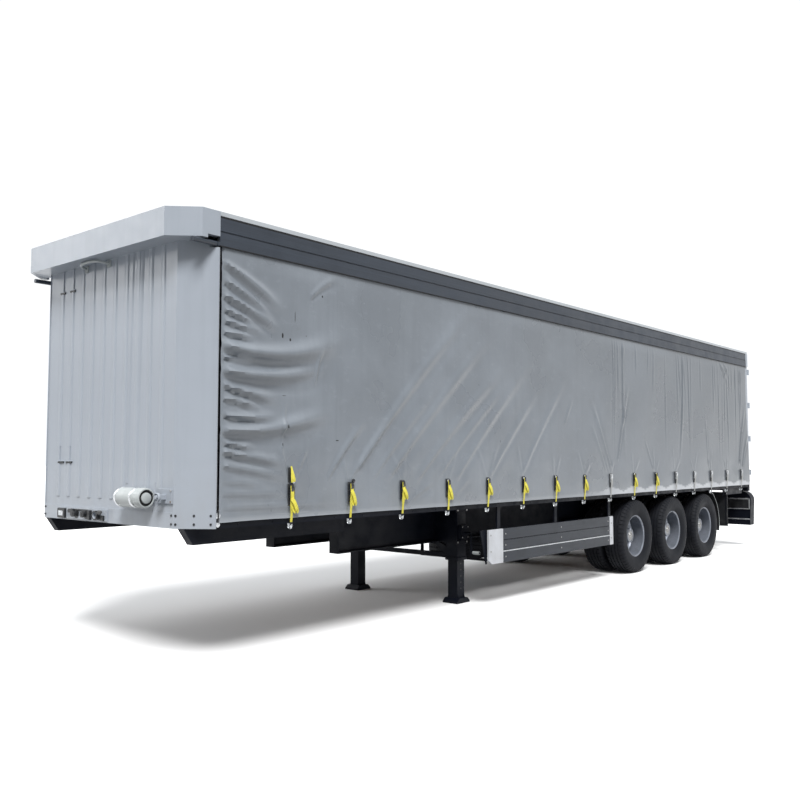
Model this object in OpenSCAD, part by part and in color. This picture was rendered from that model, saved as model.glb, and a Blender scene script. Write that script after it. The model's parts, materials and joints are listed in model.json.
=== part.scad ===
// Curtain-side semi trailer with three twin-tyred axles, parked on its landing legs.
// Millimetres. +X is forward, +Y is the trailer's left side, +Z is up.
// The origin lies on the ground under the middle of the whole trailer.

/* [Body] */
// Length from the front wall to the rear doors
body_l = 12457; // [11000:1:14000]
// Width over the curtains
body_w = 2550; // [2300:1:2600]
// Height of the roof above the ground
roof_z = 3608; // [3300:1:4000]
// Height of the load floor above the ground
floor_z = 1180; // [1130:1:1300]
// Thickness of the floor deck
deck_t = 28; // [18:1:40]
// Thickness of the roof panel
roof_t = 36; // [20:1:60]
// Height of the side raves
rave_h = 87; // [70:1:110]
// Width of the side raves
rave_w = 50; // [40:1:70]
// Thickness of the front wall
wall_t = 42; // [30:1:60]
// How far each vertical rib stands out of the front wall
rib_t = 8; // [4:1:12]
// Width of each vertical rib
rib_w = 26; // [16:1:40]
// Number of vertical ribs
rib_n = 10; // [6:1:14]
// Height of the front sill
sill_h = 124; // [90:1:150]
// How far in each front corner is cut off
corner_cut = 263; // [200:1:300]
// How far back each front corner is cut off
corner_back = 203; // [150:1:260]
// Thickness of the corner posts
post_t = 35; // [25:1:45]
// How far the header stands out in front of the front wall
header_out = 168; // [100:1:200]
// Height of the header
header_h = 235; // [180:1:280]
// How far each header corner is cut off
header_cut = 208; // [150:1:250]
// Height of the rails under the roof
rail_h = 242; // [200:1:280]

/* [Curtain] */
// Thickness of the space that a curtain's folds take
curtain_t = 13; // [8:1:16]
// How far the curtain hangs down over the side rave
curtain_lap = 43; // [30:1:60]
// Number of straps on each curtain
strap_n = 16; // [10:1:20]
// Distance from the front wall to the first strap
strap_first = 991; // [700:1:1300]
// Distance from the last strap to the rear doors
strap_last = 486; // [300:1:700]
// Width of the strap webbing
strap_w = 50; // [40:1:60]

/* [Chassis] */
// Gap between a main beam's flange and the inner tyres
beam_gap = 75; // [60:1:120]
// Width of the main beams' flanges
flange_w = 130; // [100:1:150]
// Thickness of the main beams' flanges
flange_t = 14; // [10:1:20]
// Thickness of the main beams' webs
web_t = 10; // [8:1:14]
// Height of the cross members
cross_h = 60; // [40:1:80]
// Width of the cross members
cross_w = 60; // [40:1:80]
// Number of cross members
cross_n = 21; // [16:1:26]
// Height of the neck rails
neck_h = 132; // [110:1:150]
// Length of the neck
neck_l = 1840; // [1700:1:2000]
// Distance from the front wall to the deep part of the main beams
deep_start = 2300; // [2100:1:2600]
// Height of the main beams' underside above the ground
beam_z = 670; // [640:1:700]
// Height of the main beams' underside over the axles
bogie_z = 750; // [730:1:780]
// Distance from the front wall to the kingpin
kingpin_in = 1000; // [900:1:1200]
// Thickness of the coupler plate
coupler_t = 12; // [8:1:16]

/* [Wheels] */
// Radius of the tyres
tyre_r = 520; // [500:1:530]
// Width of one tyre
tyre_w = 292; // [270:1:300]
// Radius of the rims' bead seats
bead_r = 286; // [270:1:290]
// Distance between the middles of twin tyres
twin_gap = 344; // [330:1:360]
// How far the outer tyres lie inside the trailer's side
tyre_in = 9; // [5:1:60]
// Distance from the front wall to the first axle
axle_first = 7690; // [7400:1:8000]
// Distance between two axles
axle_pitch = 1298; // [1260:1:1400]
// Radius of the axle tubes
axle_r = 64; // [55:1:70]
// Radius of the stub axles
stub_r = 40; // [35:1:45]

/* [Landing gear] */
// Distance from the front wall to the legs
leg_in = 4000; // [3800:1:4200]
// Distance from the trailer's side to a leg's middle
leg_side = 505; // [475:1:535]
// Width of a leg's outer tube
leg_w = 160; // [130:1:170]
// Width of a leg's inner tube
leg_inner_w = 132; // [100:1:140]
// Length of a foot plate
foot_l = 240; // [200:1:340]

/* [Side guards] */
// Distance from the front wall to the front end of the side guards
guard_in = 3970; // [3900:1:4100]
// Length of the side guards
guard_l = 2980; // [2600:1:3100]
// Height of the side guards' underside above the ground
guard_z = 460; // [400:1:500]
// Height of the side guards
guard_h = 380; // [320:1:420]

/* [Doors] */
// Thickness of the rear doors
door_t = 50; // [40:1:60]
// Gap round each rear door
door_gap = 6; // [5:1:10]
// Thickness of the rear frame, front to back
frame_t = 100; // [90:1:130]
// Width of the rear posts
rear_post_w = 133; // [120:1:150]
// How far the hinge pins lie behind the doors
pin_out = 60; // [55:1:80]
// Radius of the hinge pins
pin_r = 10; // [8:1:12]
// Number of hinges on each door
hinge_n = 4; // [3:1:5]
// How far the bumper stands out behind the doors
bumper_out = 203; // [120:1:240]

/* [Hidden] */

half_w = body_w / 2;
overall_l = header_out + body_l + bumper_out;
front_x = overall_l / 2 - header_out;

seat_gap = 0.3;
move_gap = 6;
rail_top = roof_z - roof_t;
rail_z = rail_top - rail_h;
header_z = roof_z - header_h;
rave_z = floor_z - rave_h;
deck_z = floor_z - deck_t;
beam_top = deck_z - cross_h;
skin_y = half_w - curtain_t;
rave_y = skin_y - 4;
rave_in = rave_y - rave_w;
rail_in = half_w - 50;
bow_h = 52;
beam_end = body_l - frame_t;
post_start = corner_back + 12;
rail_start = header_cut + 6;
neck_z = beam_top - neck_h;
neck_rail_y = half_w - 230;
neck_rail_w = 80;
track_half = half_w - tyre_in - tyre_w / 2;
inner_y = track_half - twin_gap;
beam_y = inner_y - tyre_w / 2 - beam_gap - flange_w / 2;
disc_y = track_half - twin_gap / 2;
axle_x = [for (i = [0:2]) -(axle_first + i * axle_pitch)];
strap_pitch = (body_l - strap_first - strap_last) / (strap_n - 1);
leg_x = -leg_in;
leg_y = half_w - leg_side;
guard_y = half_w - 25;
guard_t = 25;
guard_end_l = 280;
guard_tail_l = 100;
pin_x = -(body_l + pin_out);
pin_y = half_w - 20;
post_in = rave_y - rear_post_w;
door_w = post_in - door_gap - door_gap / 2;
door_z = floor_z + door_gap;
door_top = rail_top - 152 - door_gap;
light = [0.72, 0.76, 0.80];
slate = [0.28, 0.31, 0.35];
navy = [0.05, 0.06, 0.08];
grey = [0.53, 0.57, 0.61];
$fn = 64;

// Everything is drawn from the front wall's outer face, then moved to the shared origin
module place() translate([front_x, 0, 0]) children();

// A block between two corners
module block(x0, x1, y0, y1, z0, z1)
    translate([min(x0, x1), min(y0, y1), min(z0, z1)])
        cube([abs(x1 - x0), abs(y1 - y0), abs(z1 - z0)]);

// The same piece on the left and on the right
module both_sides() {
    children();
    mirror([0, 1, 0]) children();
}

// A side view in X and Z, w wide about y
module side_plate(points, y, w)
    translate([0, y + w / 2, 0]) rotate([90, 0, 0]) linear_extrude(w) polygon(points);

// A plan view in X and Y, between two heights
module plan_plate(points, z0, z1)
    translate([0, 0, z0]) linear_extrude(z1 - z0) polygon(points);

// A profile in Y and Z, carried along X
module run_along(points, x0, x1)
    translate([min(x0, x1), 0, 0]) rotate([90, 0, 90]) linear_extrude(abs(x1 - x0)) polygon(points);

// A round bar along Y
module bar_y(x, y0, y1, z, r)
    translate([x, min(y0, y1), z]) rotate([-90, 0, 0]) cylinder(h = abs(y1 - y0), r = r);

// Points along an arc of radius r about a centre, from angle a0 to angle a1
function arc_points(cx, cy, r, a0, a1, n) =
    [for (i = [0:n]) [cx + r * cos(a0 + (a1 - a0) * i / n), cy + r * sin(a0 + (a1 - a0) * i / n)]];

// ---- chassis ----

slope_start = axle_first - 1090;
slope_end = axle_first - 790;

module beam_side(inset)
    polygon([
        [-neck_l + inset, beam_top - inset], [-beam_end + 2 * inset, beam_top - inset],
        [-beam_end + 2 * inset, bogie_z + inset], [-slope_end, bogie_z + inset],
        [-slope_start, beam_z + inset], [-deep_start - inset, beam_z + inset],
        [-deep_start - inset, neck_z + inset], [-neck_l + inset, neck_z + inset]
    ]);

module main_beam() {
    difference() {
        translate([0, beam_y + flange_w / 2, 0]) rotate([90, 0, 0])
            linear_extrude(flange_w) beam_side(0);
        for (side = [-1, 1])
            translate([0, beam_y + side * (web_t / 2 + flange_w / 2) + flange_w / 2, 0])
                rotate([90, 0, 0]) linear_extrude(flange_w) beam_side(flange_t);
    }
}

module main_beams() color(navy) place() both_sides() main_beam();

module neck_rails() color(navy) place() both_sides()
    side_plate([
        [-48, beam_top], [-140, neck_z], [-neck_l, neck_z], [-neck_l, beam_top]
    ], neck_rail_y, neck_rail_w);

coupler_z = beam_top - 52;
coupler_front = 450;
coupler_back = 1560;
coupler_half = 560;

module neck_bolsters() color(navy) place() {
    bolster_y = neck_rail_y - neck_rail_w / 2;
    block(-neck_l, -neck_l + 120, -bolster_y, bolster_y, neck_z, beam_top);
    block(-coupler_front - 90, -coupler_front, -bolster_y, bolster_y, coupler_z + coupler_t, beam_top);
}

pin_flange_r = 60;

module coupler_plate() color(navy) place() {
    rib_front = coupler_front + 90;
    difference() {
        block(-coupler_back, -coupler_front, -coupler_half, coupler_half, coupler_z, coupler_z + coupler_t);
        translate([-kingpin_in, 0, coupler_z - 1]) cylinder(h = coupler_t + 2, r = pin_flange_r);
    }
    for (y = [-500, -170, 170, 500])
        block(-coupler_back, -rib_front, y - 6, y + 6, coupler_z + coupler_t, beam_top);
}

// Two-inch kingpin: flange set into the coupler plate, upper collar, neck and lower head
module kingpin() color("dimgray") place() translate([-kingpin_in, 0, coupler_z]) {
    cylinder(h = coupler_t, r = pin_flange_r - seat_gap);
    translate([0, 0, -35]) cylinder(h = 35, r = 36.5);
    translate([0, 0, -70]) cylinder(h = 35, r = 25.4);
    translate([0, 0, -84]) cylinder(h = 14, r = 35.75);
}

module cross_members() color(navy) place()
    for (i = [0:cross_n - 1]) {
        x = -(330 + i * (body_l - 330 - frame_t - 90) / (cross_n - 1));
        difference() {
            block(x - cross_w / 2, x + cross_w / 2, -rave_in, rave_in, beam_top, deck_z);
            block(x - cross_w / 2 + 8, x + cross_w / 2 + 1, -rave_in - 1, rave_in + 1,
                beam_top + 8, deck_z - 8);
        }
    }

module side_raves() color(navy) place() both_sides()
    run_along([
        [rave_in, rave_z], [rave_y, rave_z], [rave_y, floor_z], [rave_in, floor_z]
    ], -beam_end, -post_start);

// The deck's front corners are cut off where the corner posts stand
module floor_deck() color("burlywood") place() {
    front = -wall_t - rib_t;
    cut = rave_in - wall_half;
    plan_plate([
        [front, wall_half], [front - cut, rave_in], [-beam_end, rave_in],
        [-beam_end, -rave_in], [front - cut, -rave_in], [front, -wall_half]
    ], deck_z, floor_z);
}

// ---- front end ----

wall_half = half_w - corner_cut;
sill_top = rave_z + sill_h;
rib_foot = sill_top + 83;
rib_right = 232;
rib_left = 187;
rib_pitch = (2 * wall_half - rib_right - rib_left) / (rib_n - 1);

// Middle of a rib, counted from the trailer's right; halves lie between two ribs
function rib_y(k) = rib_right - wall_half + k * rib_pitch;

module front_wall() color(light) place() {
    block(-wall_t - rib_t, -rib_t, -wall_half, wall_half, sill_top, header_z);
    for (i = [0:rib_n - 1]) {
        y = rib_y(i);
        block(-rib_t, 0, y - rib_w / 2, y + rib_w / 2, rib_foot, header_z);
    }
}

module front_sill() color(light) place()
    block(-wall_t - rib_t, 0, -wall_half, wall_half, rave_z, sill_top);

track_z = rail_z + 15;
track_r = 20;
track_y = half_w - 22;

// The slanting face is post_t thick; the track's end passes through a notch
module corner_post() {
    slope = corner_cut / corner_back;
    inner = post_t * sqrt(1 + slope * slope);
    difference() {
        plan_plate([
            [0, wall_half], [-corner_back, half_w], [-post_start, half_w],
            [-post_start, wall_half + slope * post_start - inner], [-inner / slope, wall_half]
        ], rave_z, header_z);
        block(-post_start - 1, -corner_back + 60, half_w - 60, half_w + 1, track_z - 30, header_z + 1);
    }
}

module corner_posts() color(light) place() both_sides() corner_post();

header_y = half_w + 4;

module header_cap() color(light) place() difference() {
    plan_plate([
        [header_out, header_cut - header_y], [header_out, header_y - header_cut],
        [header_out - header_cut, header_y], [-rail_start, header_y],
        [-rail_start, -header_y], [header_out - header_cut, -header_y]
    ], header_z, roof_z - 3);
    block(-rail_start - 1, -wall_t - rib_t, -rail_in, rail_in, header_z - 1, rail_top);
    block(-rail_start - 1, -rail_start + 120, -half_w - 10, half_w + 10, header_z - 1, header_z + 30);
}

// ---- roof ----

module roof_panel() color("whitesmoke") place()
    block(-body_l, -rail_start, -half_w + 5, half_w - 5, rail_top, roof_z);

module roof_bows() color("silver") place()
    for (i = [1:10]) {
        x = -(i * body_l / 11);
        block(x - 20, x + 20, -rail_in, rail_in, rail_top - bow_h, rail_top);
    }

// Upper panel, dark groove, then the pelmet that covers the curtain track
// The track runs on forwards past the header from a short nose on the rail's outer leg
track_out = 34;
nose_l = 20;

module roof_rail() {
    groove_z = rail_top - 121;
    run_along([
        [rail_in, rail_top], [half_w, rail_top], [half_w, groove_z], [half_w - 8, groove_z],
        [half_w - 8, groove_z - 14], [half_w + 4, groove_z - 14], [half_w + 4, rail_z],
        [half_w - 8, rail_z], [half_w - 8, groove_z - 34], [rail_in, groove_z - 34]
    ], -beam_end, -rail_start);
    block(-rail_start - 1, -rail_start + nose_l, half_w - 8, half_w + 4, rail_z, rail_z + 30);
    translate([-rail_start, track_y, track_z]) rotate([0, 90, 0])
        cylinder(h = rail_start + track_out, r = track_r);
}

module roof_rails() color(slate) place() both_sides() roof_rail();

// ---- rear frame ----

// Lugs above and below each door hinge, with the hinge pin through them
hinge_z = [for (i = [0:hinge_n - 1]) door_z + 180 + i * (door_top - door_z - 360) / (hinge_n - 1)];
hinge_h = 60;
lug_h = 18;
lug_gap = 2;
eye_r = 22;

module lug(z)
    difference() {
        union() {
            translate([pin_x, pin_y, z]) cylinder(h = lug_h, r = eye_r);
            block(-body_l, pin_x, pin_y - eye_r, pin_y + 2, z, z + lug_h);
        }
        translate([pin_x, pin_y, z - 1]) cylinder(h = lug_h + 2, r = pin_r);
    }

module rear_post() {
    block(-body_l, -beam_end, post_in, rave_y, floor_z, rail_top);
    block(-body_l, -beam_end, rave_y - 1, half_w, rail_z, rail_top);
    for (z = hinge_z) {
        lug(z - hinge_h / 2 - lug_gap - lug_h);
        lug(z + hinge_h / 2 + lug_gap);
        translate([pin_x, pin_y, z - hinge_h / 2 - lug_gap - lug_h])
            cylinder(h = hinge_h + 2 * (lug_gap + lug_h), r = pin_r);
    }
}

module rear_posts() color(light) place() both_sides() rear_post();

module rear_header() color(light) place()
    block(-body_l, -beam_end, -post_in, post_in, rail_top - 152, rail_top);

module rear_sill() color(navy) place()
    block(-body_l, -beam_end, -rave_y, rave_y, floor_z - 160, floor_z);

module dock_buffers() color([0.08, 0.08, 0.08]) place() both_sides()
    block(-body_l - 45, -body_l, rave_y - 298, rave_y - 178, floor_z - 150, floor_z - 20);

// ---- sides ----

module side_pillars() color("silver") place() both_sides()
    for (i = [1:3]) {
        x = -(i * body_l / 4 + 100);
        block(x - 50, x + 50, rave_in, rave_in + 40, floor_z, rail_top - 155);
    }

pole_r = 17;
pole_x = [-post_start - 17, -body_l + frame_t + 40];

module curtain_poles() color("black") place() both_sides()
    for (x = pole_x)
        translate([x, rave_y - pole_r - 1, floor_z]) cylinder(h = rail_top - 155 - floor_z, r = pole_r);

curtain_front = post_start + 38;
curtain_back = body_l - 27;
curtain_z = floor_z - curtain_lap;

module curtain()
    block(-curtain_back, -curtain_front, skin_y, half_w, curtain_z, rail_z - seat_gap);

module curtain_left() color(grey) place() curtain();
module curtain_right() color(grey) place() mirror([0, 1, 0]) curtain();

// Webbing, buckle and the hook that catches under the side rave
module strap(x, top) {
    face = half_w + 0.5;
    hook_z = rave_z - 48;
    block(x - strap_w / 2, x + strap_w / 2, face, face + 4, rave_z - 20, top);
    block(x - strap_w / 2 - 3, x + strap_w / 2 + 3, face + 4, face + 18, top - 130, top - 40);
    block(x - 15, x + 15, face, face + 8, hook_z, rave_z - 20);
    block(x - 15, x + 15, rave_y - 18, face + 8, hook_z, hook_z + 8);
    block(x - 15, x + 15, rave_y - 18, rave_y - 10, hook_z, rave_z - seat_gap);
}

module curtain_straps() color([0.93, 0.86, 0.25]) place() both_sides()
    for (i = [0:strap_n - 1])
        strap(-(strap_first + i * strap_pitch), i == 0 ? floor_z + 396 : floor_z + 240);

// ---- landing gear ----

leg_low = 480;
foot_w = 206;
foot_h = 56;
brace_z = 500;

module landing_leg() {
    inner = leg_inner_w / 2;
    outer = leg_w / 2;
    block(leg_x - outer, leg_x + outer, leg_y - outer, leg_y + outer, leg_low, beam_top);
    block(leg_x - outer + 10, leg_x + outer - 10, beam_y + web_t / 2, leg_y - outer,
        beam_z + flange_t, beam_top - flange_t);
    block(leg_x - inner, leg_x + inner, leg_y - inner, leg_y + inner, foot_h - 10, leg_low);
    side_plate([
        [leg_x - foot_l / 2, 0], [leg_x + foot_l / 2, 0], [leg_x + foot_l / 2, 16],
        [leg_x + inner + 12, foot_h], [leg_x - inner - 12, foot_h], [leg_x - foot_l / 2, 16]
    ], leg_y, foot_w);
}

module landing_legs() color(navy) place() both_sides() landing_leg();

module landing_brace() color(navy) place() {
    brace_y = leg_y - leg_w / 2;
    diag = [beam_y, beam_z];
    block(leg_x - 25, leg_x + 25, -brace_y, brace_y, brace_z, brace_z + 50);
    both_sides()
        run_along([
            [brace_y, brace_z + 50], [brace_y, brace_z + 110],
            [diag[0] + 35, diag[1]], [diag[0] - 35, diag[1]], [brace_y - 90, brace_z + 50]
        ], leg_x - 20, leg_x + 20);
}

// Gearbox on the left leg with its folded crank
module landing_crank() color("gray") place() {
    y = leg_y + leg_w / 2;
    block(leg_x - 70, leg_x + 70, y, y + 50, 720, 880);
    bar_y(leg_x, y + 50, y + 130, 790, 14);
    block(leg_x - 14, leg_x + 14, y + 130, y + 142, 560, 804);
    bar_y(leg_x, y + 142, y + 250, 574, 12);
}

// ---- side guards and what hangs under the frame ----

guard_end = guard_in + guard_l;

module side_guards() color([0.2, 0.22, 0.24]) place() both_sides()
    for (strip = [[0, 128], [138, 250], [258, guard_h]])
        block(-guard_end + guard_tail_l, -guard_in - guard_end_l, guard_y - guard_t, guard_y,
            guard_z + strip[0], guard_z + strip[1]);

module guard_ends() color(light) place() both_sides() {
    side_plate([
        [-guard_in, guard_z + 40], [-guard_in, guard_z + guard_h],
        [-guard_in - guard_end_l, guard_z + guard_h],
        [-guard_in - guard_end_l, guard_z], [-guard_in - 60, guard_z]
    ], guard_y - guard_t / 2, guard_t);
    block(-guard_end, -guard_end + guard_tail_l, guard_y - guard_t, guard_y, guard_z, guard_z + guard_h);
}

module guard_posts() color(navy) place() both_sides()
    for (x = [-guard_in - 230, -guard_in - guard_l / 2, -guard_end + 60])
        block(x - 30, x + 30, rave_in, guard_y - guard_t, guard_z + 20, rave_z);

spare_x = -(leg_in + 1300);
spare_low = beam_z - tyre_w - 4;

module spare_wheel() color([0.06, 0.06, 0.06]) place()
    translate([spare_x, 0, spare_low]) difference() {
        union() {
            rotate_extrude() polygon([
                [bead_r, 36], [tyre_r * 0.7, 4], [tyre_r * 0.83, 0], [tyre_r - 30, 10],
                [tyre_r - 8, 24], [tyre_r, 46], [tyre_r, tyre_w - 46], [tyre_r - 8, tyre_w - 24],
                [tyre_r - 30, tyre_w - 10], [tyre_r * 0.83, tyre_w], [tyre_r * 0.7, tyre_w - 4],
                [bead_r, tyre_w - 36]
            ]);
            translate([0, 0, 60]) cylinder(h = 14, r = bead_r + 4);
        }
        translate([0, 0, 50]) cylinder(h = 40, r = 140);
    }

// Two slings under the wheel, each hooked over the main beams' lower flanges
arm_t = 16;
arm_y = max(tyre_r, beam_y + flange_w / 2) + move_gap;

module spare_carrier() color(navy) place() {
    hook_z = beam_z + flange_t;
    for (x = [spare_x - 260, spare_x + 260]) {
        block(x - 25, x + 25, -arm_y - arm_t, arm_y + arm_t, spare_low - 30, spare_low - seat_gap);
        both_sides() {
            block(x - 25, x + 25, arm_y, arm_y + arm_t, spare_low - 30, hook_z + arm_t);
            block(x - 25, x + 25, beam_y + web_t / 2, arm_y + arm_t, hook_z, hook_z + arm_t);
        }
    }
}

module air_tank() color(navy) place() {
    tank_r = 120;
    tank_y = beam_y - flange_w / 2 - tank_r - 20;
    x0 = -(axle_first - 1250);
    translate([x0, tank_y, beam_z + 160]) rotate([0, 90, 0]) cylinder(h = 620, r = tank_r);
    for (x = [x0 + 80, x0 + 500])
        block(x, x + 40, tank_y, beam_y - web_t / 2, beam_z + 240, beam_z + 260);
}

// ---- running gear ----

drum_in = inner_y - tyre_w / 2 - 40;
chamber_y = beam_y - 160;

module axle(x) {
    bar_y(x, -drum_in, drum_in, tyre_r, axle_r);
    bar_y(x, -track_half - 20, track_half + 20, tyre_r, stub_r);
    both_sides() {
        block(x - 60, x + 60, beam_y - 45, beam_y + 45, tyre_r - 20, tyre_r + axle_r);
        translate([x + 170, chamber_y, tyre_r + 10]) rotate([0, 90, 0]) cylinder(h = 170, r = 85);
        block(x + 40, x + 190, chamber_y - 12, chamber_y + 12, tyre_r - 30, tyre_r + 30);
    }
}

module axles() color(navy) place()
    for (x = axle_x) axle(x);

leaf_t = 14;
leaf_half = axle_pitch / 2 - 89;
pack_top = bogie_z - 100;

module spring_pack(x) {
    for (i = [0:2])
        block(x - leaf_half + i * 130, x + leaf_half - i * 130, beam_y - 38, beam_y + 38,
            pack_top - (i + 1) * leaf_t, pack_top - i * leaf_t);
    block(x - 70, x + 70, beam_y - 45, beam_y + 45, tyre_r + axle_r, pack_top - 3 * leaf_t);
}

module spring_packs() color(navy) place() both_sides()
    for (x = axle_x) spring_pack(x);

module spring_hangers() color(navy) place() both_sides()
    for (i = [0:3]) {
        x = -(axle_first + (i - 0.5) * axle_pitch);
        side_plate([
            [x - 130, bogie_z], [x + 130, bogie_z], [x + 110, pack_top], [x - 110, pack_top]
        ], beam_y, 100);
    }

fender_r = tyre_r + 80;
flap_low = 440;

// Curved guard behind the last wheels, and the flap behind it
module rear_mudguards() color([0.07, 0.07, 0.08]) place() both_sides() {
    x = axle_x[2];
    flap_x = x - 1010;
    bar_r = fender_r + 22;
    fender_out = track_half + 135;
    fender_in = inner_y - 140;
    translate([x, fender_out, tyre_r]) rotate([90, 0, 0]) linear_extrude(fender_out - fender_in)
        polygon(concat(
            arc_points(0, 0, fender_r + 8, 192, 122, 20), arc_points(0, 0, fender_r, 122, 192, 20)
        ));
    bar_y(x - bar_r * cos(35), beam_y + web_t / 2, track_half + 120, tyre_r + bar_r * sin(35), 15);
    block(flap_x, flap_x - 8, inner_y - 130, half_w - 20, flap_low, rave_z - 60);
    block(flap_x, flap_x + 40, beam_y + web_t / 2, half_w - 20, rave_z - 100, rave_z - 60);
}

// ---- rear end ----

box_in = half_w - 490;
box_out = half_w - 2;
box_low = 390;
box_round = 165;
box_top = floor_z - 165;
box_front = body_l - 7;
box_back = body_l + bumper_out - 10;

module rear_bumper() color(navy) place() {
    both_sides() {
        run_along(concat(
            [[box_in, box_top], [box_in, box_low], [box_out - 20, box_low]],
            arc_points(box_out - box_round, box_top - box_round, box_round, 0, 90, 12)
        ), -box_back, -box_front);
        block(-box_front - 60, -beam_end + 260, beam_y - 8, beam_y + 8, 480, bogie_z);
    }
    block(-box_front - 50, -box_front - 150, -box_in, box_in, 500, 640);
}

lamp_z = 620;
lamp_w = 140;

module rear_lamps() color("firebrick") place() both_sides()
    for (y = [box_in + 30, box_in + 190])
        block(-box_back - 10, -box_back, y, y + lamp_w, lamp_z, lamp_z + lamp_w);

// ---- small things on the front ----

tube_r = 74;
tube_x = tube_r + 10;
tube_z = floor_z + 147;
tube_end = wall_half - 237;
tube_l = 417;

// The tube's two brackets stand on the wall between the ribs
module document_tube() color("gray") place() {
    bar_y(tube_x, tube_end - tube_l, tube_end, tube_z, tube_r);
    for (y = [tube_end - tube_l, tube_end - 15])
        bar_y(tube_x, y, y + 15, tube_z, tube_r + 8);
    for (k = [rib_n - 3.5, rib_n - 1.5]) {
        y = rib_y(k);
        block(-rib_t, tube_x, y - 20, y + 20, tube_z - 20, tube_z + 20);
    }
}

panel_y = 277 - wall_half;
panel_l = 810;
socket_y = panel_y + panel_l - 135;
socket_z = rave_z + 60;

module service_panel() color([0.1, 0.1, 0.11]) place() {
    block(0, 10, panel_y, panel_y + panel_l, rave_z + 12, sill_top - 14);
    translate([10, socket_y, socket_z]) rotate([0, 90, 0]) difference() {
        cylinder(h = 40, r = 36);
        cylinder(h = 41, r = 28);
    }
    for (y = [panel_y + 315, panel_y + 475])
        translate([10, y, socket_z]) rotate([0, 90, 0]) cylinder(h = 45, r = 24);
}

// ---- wheels ----

// Points are radius and distance from the tyre's middle
function tyre_points(wc) = let(h = tyre_w / 2) [
    [bead_r + 0.6, wc - 88], [bead_r + 17, wc - 96], [bead_r + 18, wc - 114],
    [tyre_r * 0.7, wc - h + 6], [tyre_r * 0.83, wc - h], [tyre_r - 30, wc - h + 10],
    [tyre_r - 8, wc - h + 24], [tyre_r, wc - h + 46], [tyre_r, wc + h - 46],
    [tyre_r - 8, wc + h - 24], [tyre_r - 30, wc + h - 10], [tyre_r * 0.83, wc + h],
    [tyre_r * 0.7, wc + h - 6], [bead_r + 18, wc + 114], [bead_r + 17, wc + 96],
    [bead_r + 0.6, wc + 88]
];

// Half of a twin rim: the outer wheel's rim and its disc, from the disc's face outwards
function rim_points(face, out) = [
    [bead_r + 16, face + out * 280], [bead_r + 16, face + out * 271], [bead_r, face + out * 262],
    [bead_r, face + out * 82], [bead_r + 16, face + out * 74], [bead_r + 16, face + out * 64],
    [bead_r - 16, face + out * 64], [bead_r - 70, face], [70, face], [70, face + out * 14],
    [bead_r - 78, face + out * 14], [bead_r - 24, face + out * 76], [bead_r - 12, face + out * 92],
    [bead_r - 12, face + out * 268], [bead_r, face + out * 280]
];

// Turned about Y at an axle: the profile's radius and width come from its points
module turned(x) translate([x, 0, tyre_r]) rotate([-90, 0, 0]) children();

module tyres(i) color([0.06, 0.06, 0.06]) turned(axle_x[i])
    for (wc = [inner_y, track_half])
        rotate_extrude($fn = 96) polygon(tyre_points(wc));

drum_r = 210;

// Ten hand holes go through the sloping part of both discs
hand_n = 10;
hand_r = 20;
hand_in = bead_r - 54;

module rims(i) color("silver") turned(axle_x[i]) {
    bore = stub_r + 1;
    difference() {
        union() {
            rotate_extrude($fn = 96) polygon(rim_points(disc_y, 1));
            rotate_extrude($fn = 96) polygon(rim_points(disc_y, -1));
        }
        for (k = [0:hand_n - 1])
            rotate([0, 0, k * 360 / hand_n]) translate([hand_in, 0, disc_y - 90])
                cylinder(h = 180, r = hand_r);
    }
    rotate_extrude($fn = 96) polygon([
        [bore, drum_in + move_gap], [drum_r, drum_in + move_gap], [drum_r, drum_in + 200],
        [115, drum_in + 230], [115, disc_y + 150], [100, disc_y + 190], [100, disc_y + 200],
        [0, disc_y + 200], [0, track_half + 20 + move_gap], [bore, track_half + 20 + move_gap]
    ]);
}

module tyres_1_left() place() tyres(0);
module tyres_2_left() place() tyres(1);
module tyres_3_left() place() tyres(2);
module tyres_1_right() place() mirror([0, 1, 0]) tyres(0);
module tyres_2_right() place() mirror([0, 1, 0]) tyres(1);
module tyres_3_right() place() mirror([0, 1, 0]) tyres(2);
module rims_1_left() place() rims(0);
module rims_2_left() place() rims(1);
module rims_3_left() place() rims(2);
module rims_1_right() place() mirror([0, 1, 0]) rims(0);
module rims_2_right() place() mirror([0, 1, 0]) rims(1);
module rims_3_right() place() mirror([0, 1, 0]) rims(2);

// ---- rear doors ----

strap_out = 20;
door_edge = door_gap / 2 + door_w;

module rear_door() {
    block(-body_l, -body_l + door_t, door_gap / 2, door_edge, door_z, door_top);
    strap_x = -body_l - strap_out;
    for (z = hinge_z) difference() {
        low = z - hinge_h / 2;
        high = z + hinge_h / 2;
        union() {
            block(strap_x, -body_l, door_edge - 160, door_edge, low, high);
            block(strap_x, -body_l - move_gap, door_edge - 1, pin_y - 40, low, high);
            plan_plate([
                [-body_l - strap_out, pin_y - 60], [-body_l - move_gap, pin_y - 60],
                [-body_l - move_gap, pin_y - 20], [pin_x, pin_y + 12],
                [pin_x - 12, pin_y - 12]
            ], z - hinge_h / 2, z + hinge_h / 2);
            translate([pin_x, pin_y, z - hinge_h / 2]) cylinder(h = hinge_h, r = eye_r);
        }
        translate([pin_x, pin_y, z - hinge_h / 2 - 1]) cylinder(h = hinge_h + 2, r = pin_r + 0.5);
    }
}

module rear_door_left() color(light) place() rear_door();
module rear_door_right() color(light) place() mirror([0, 1, 0]) rear_door();

rod_r = 10;

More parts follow.
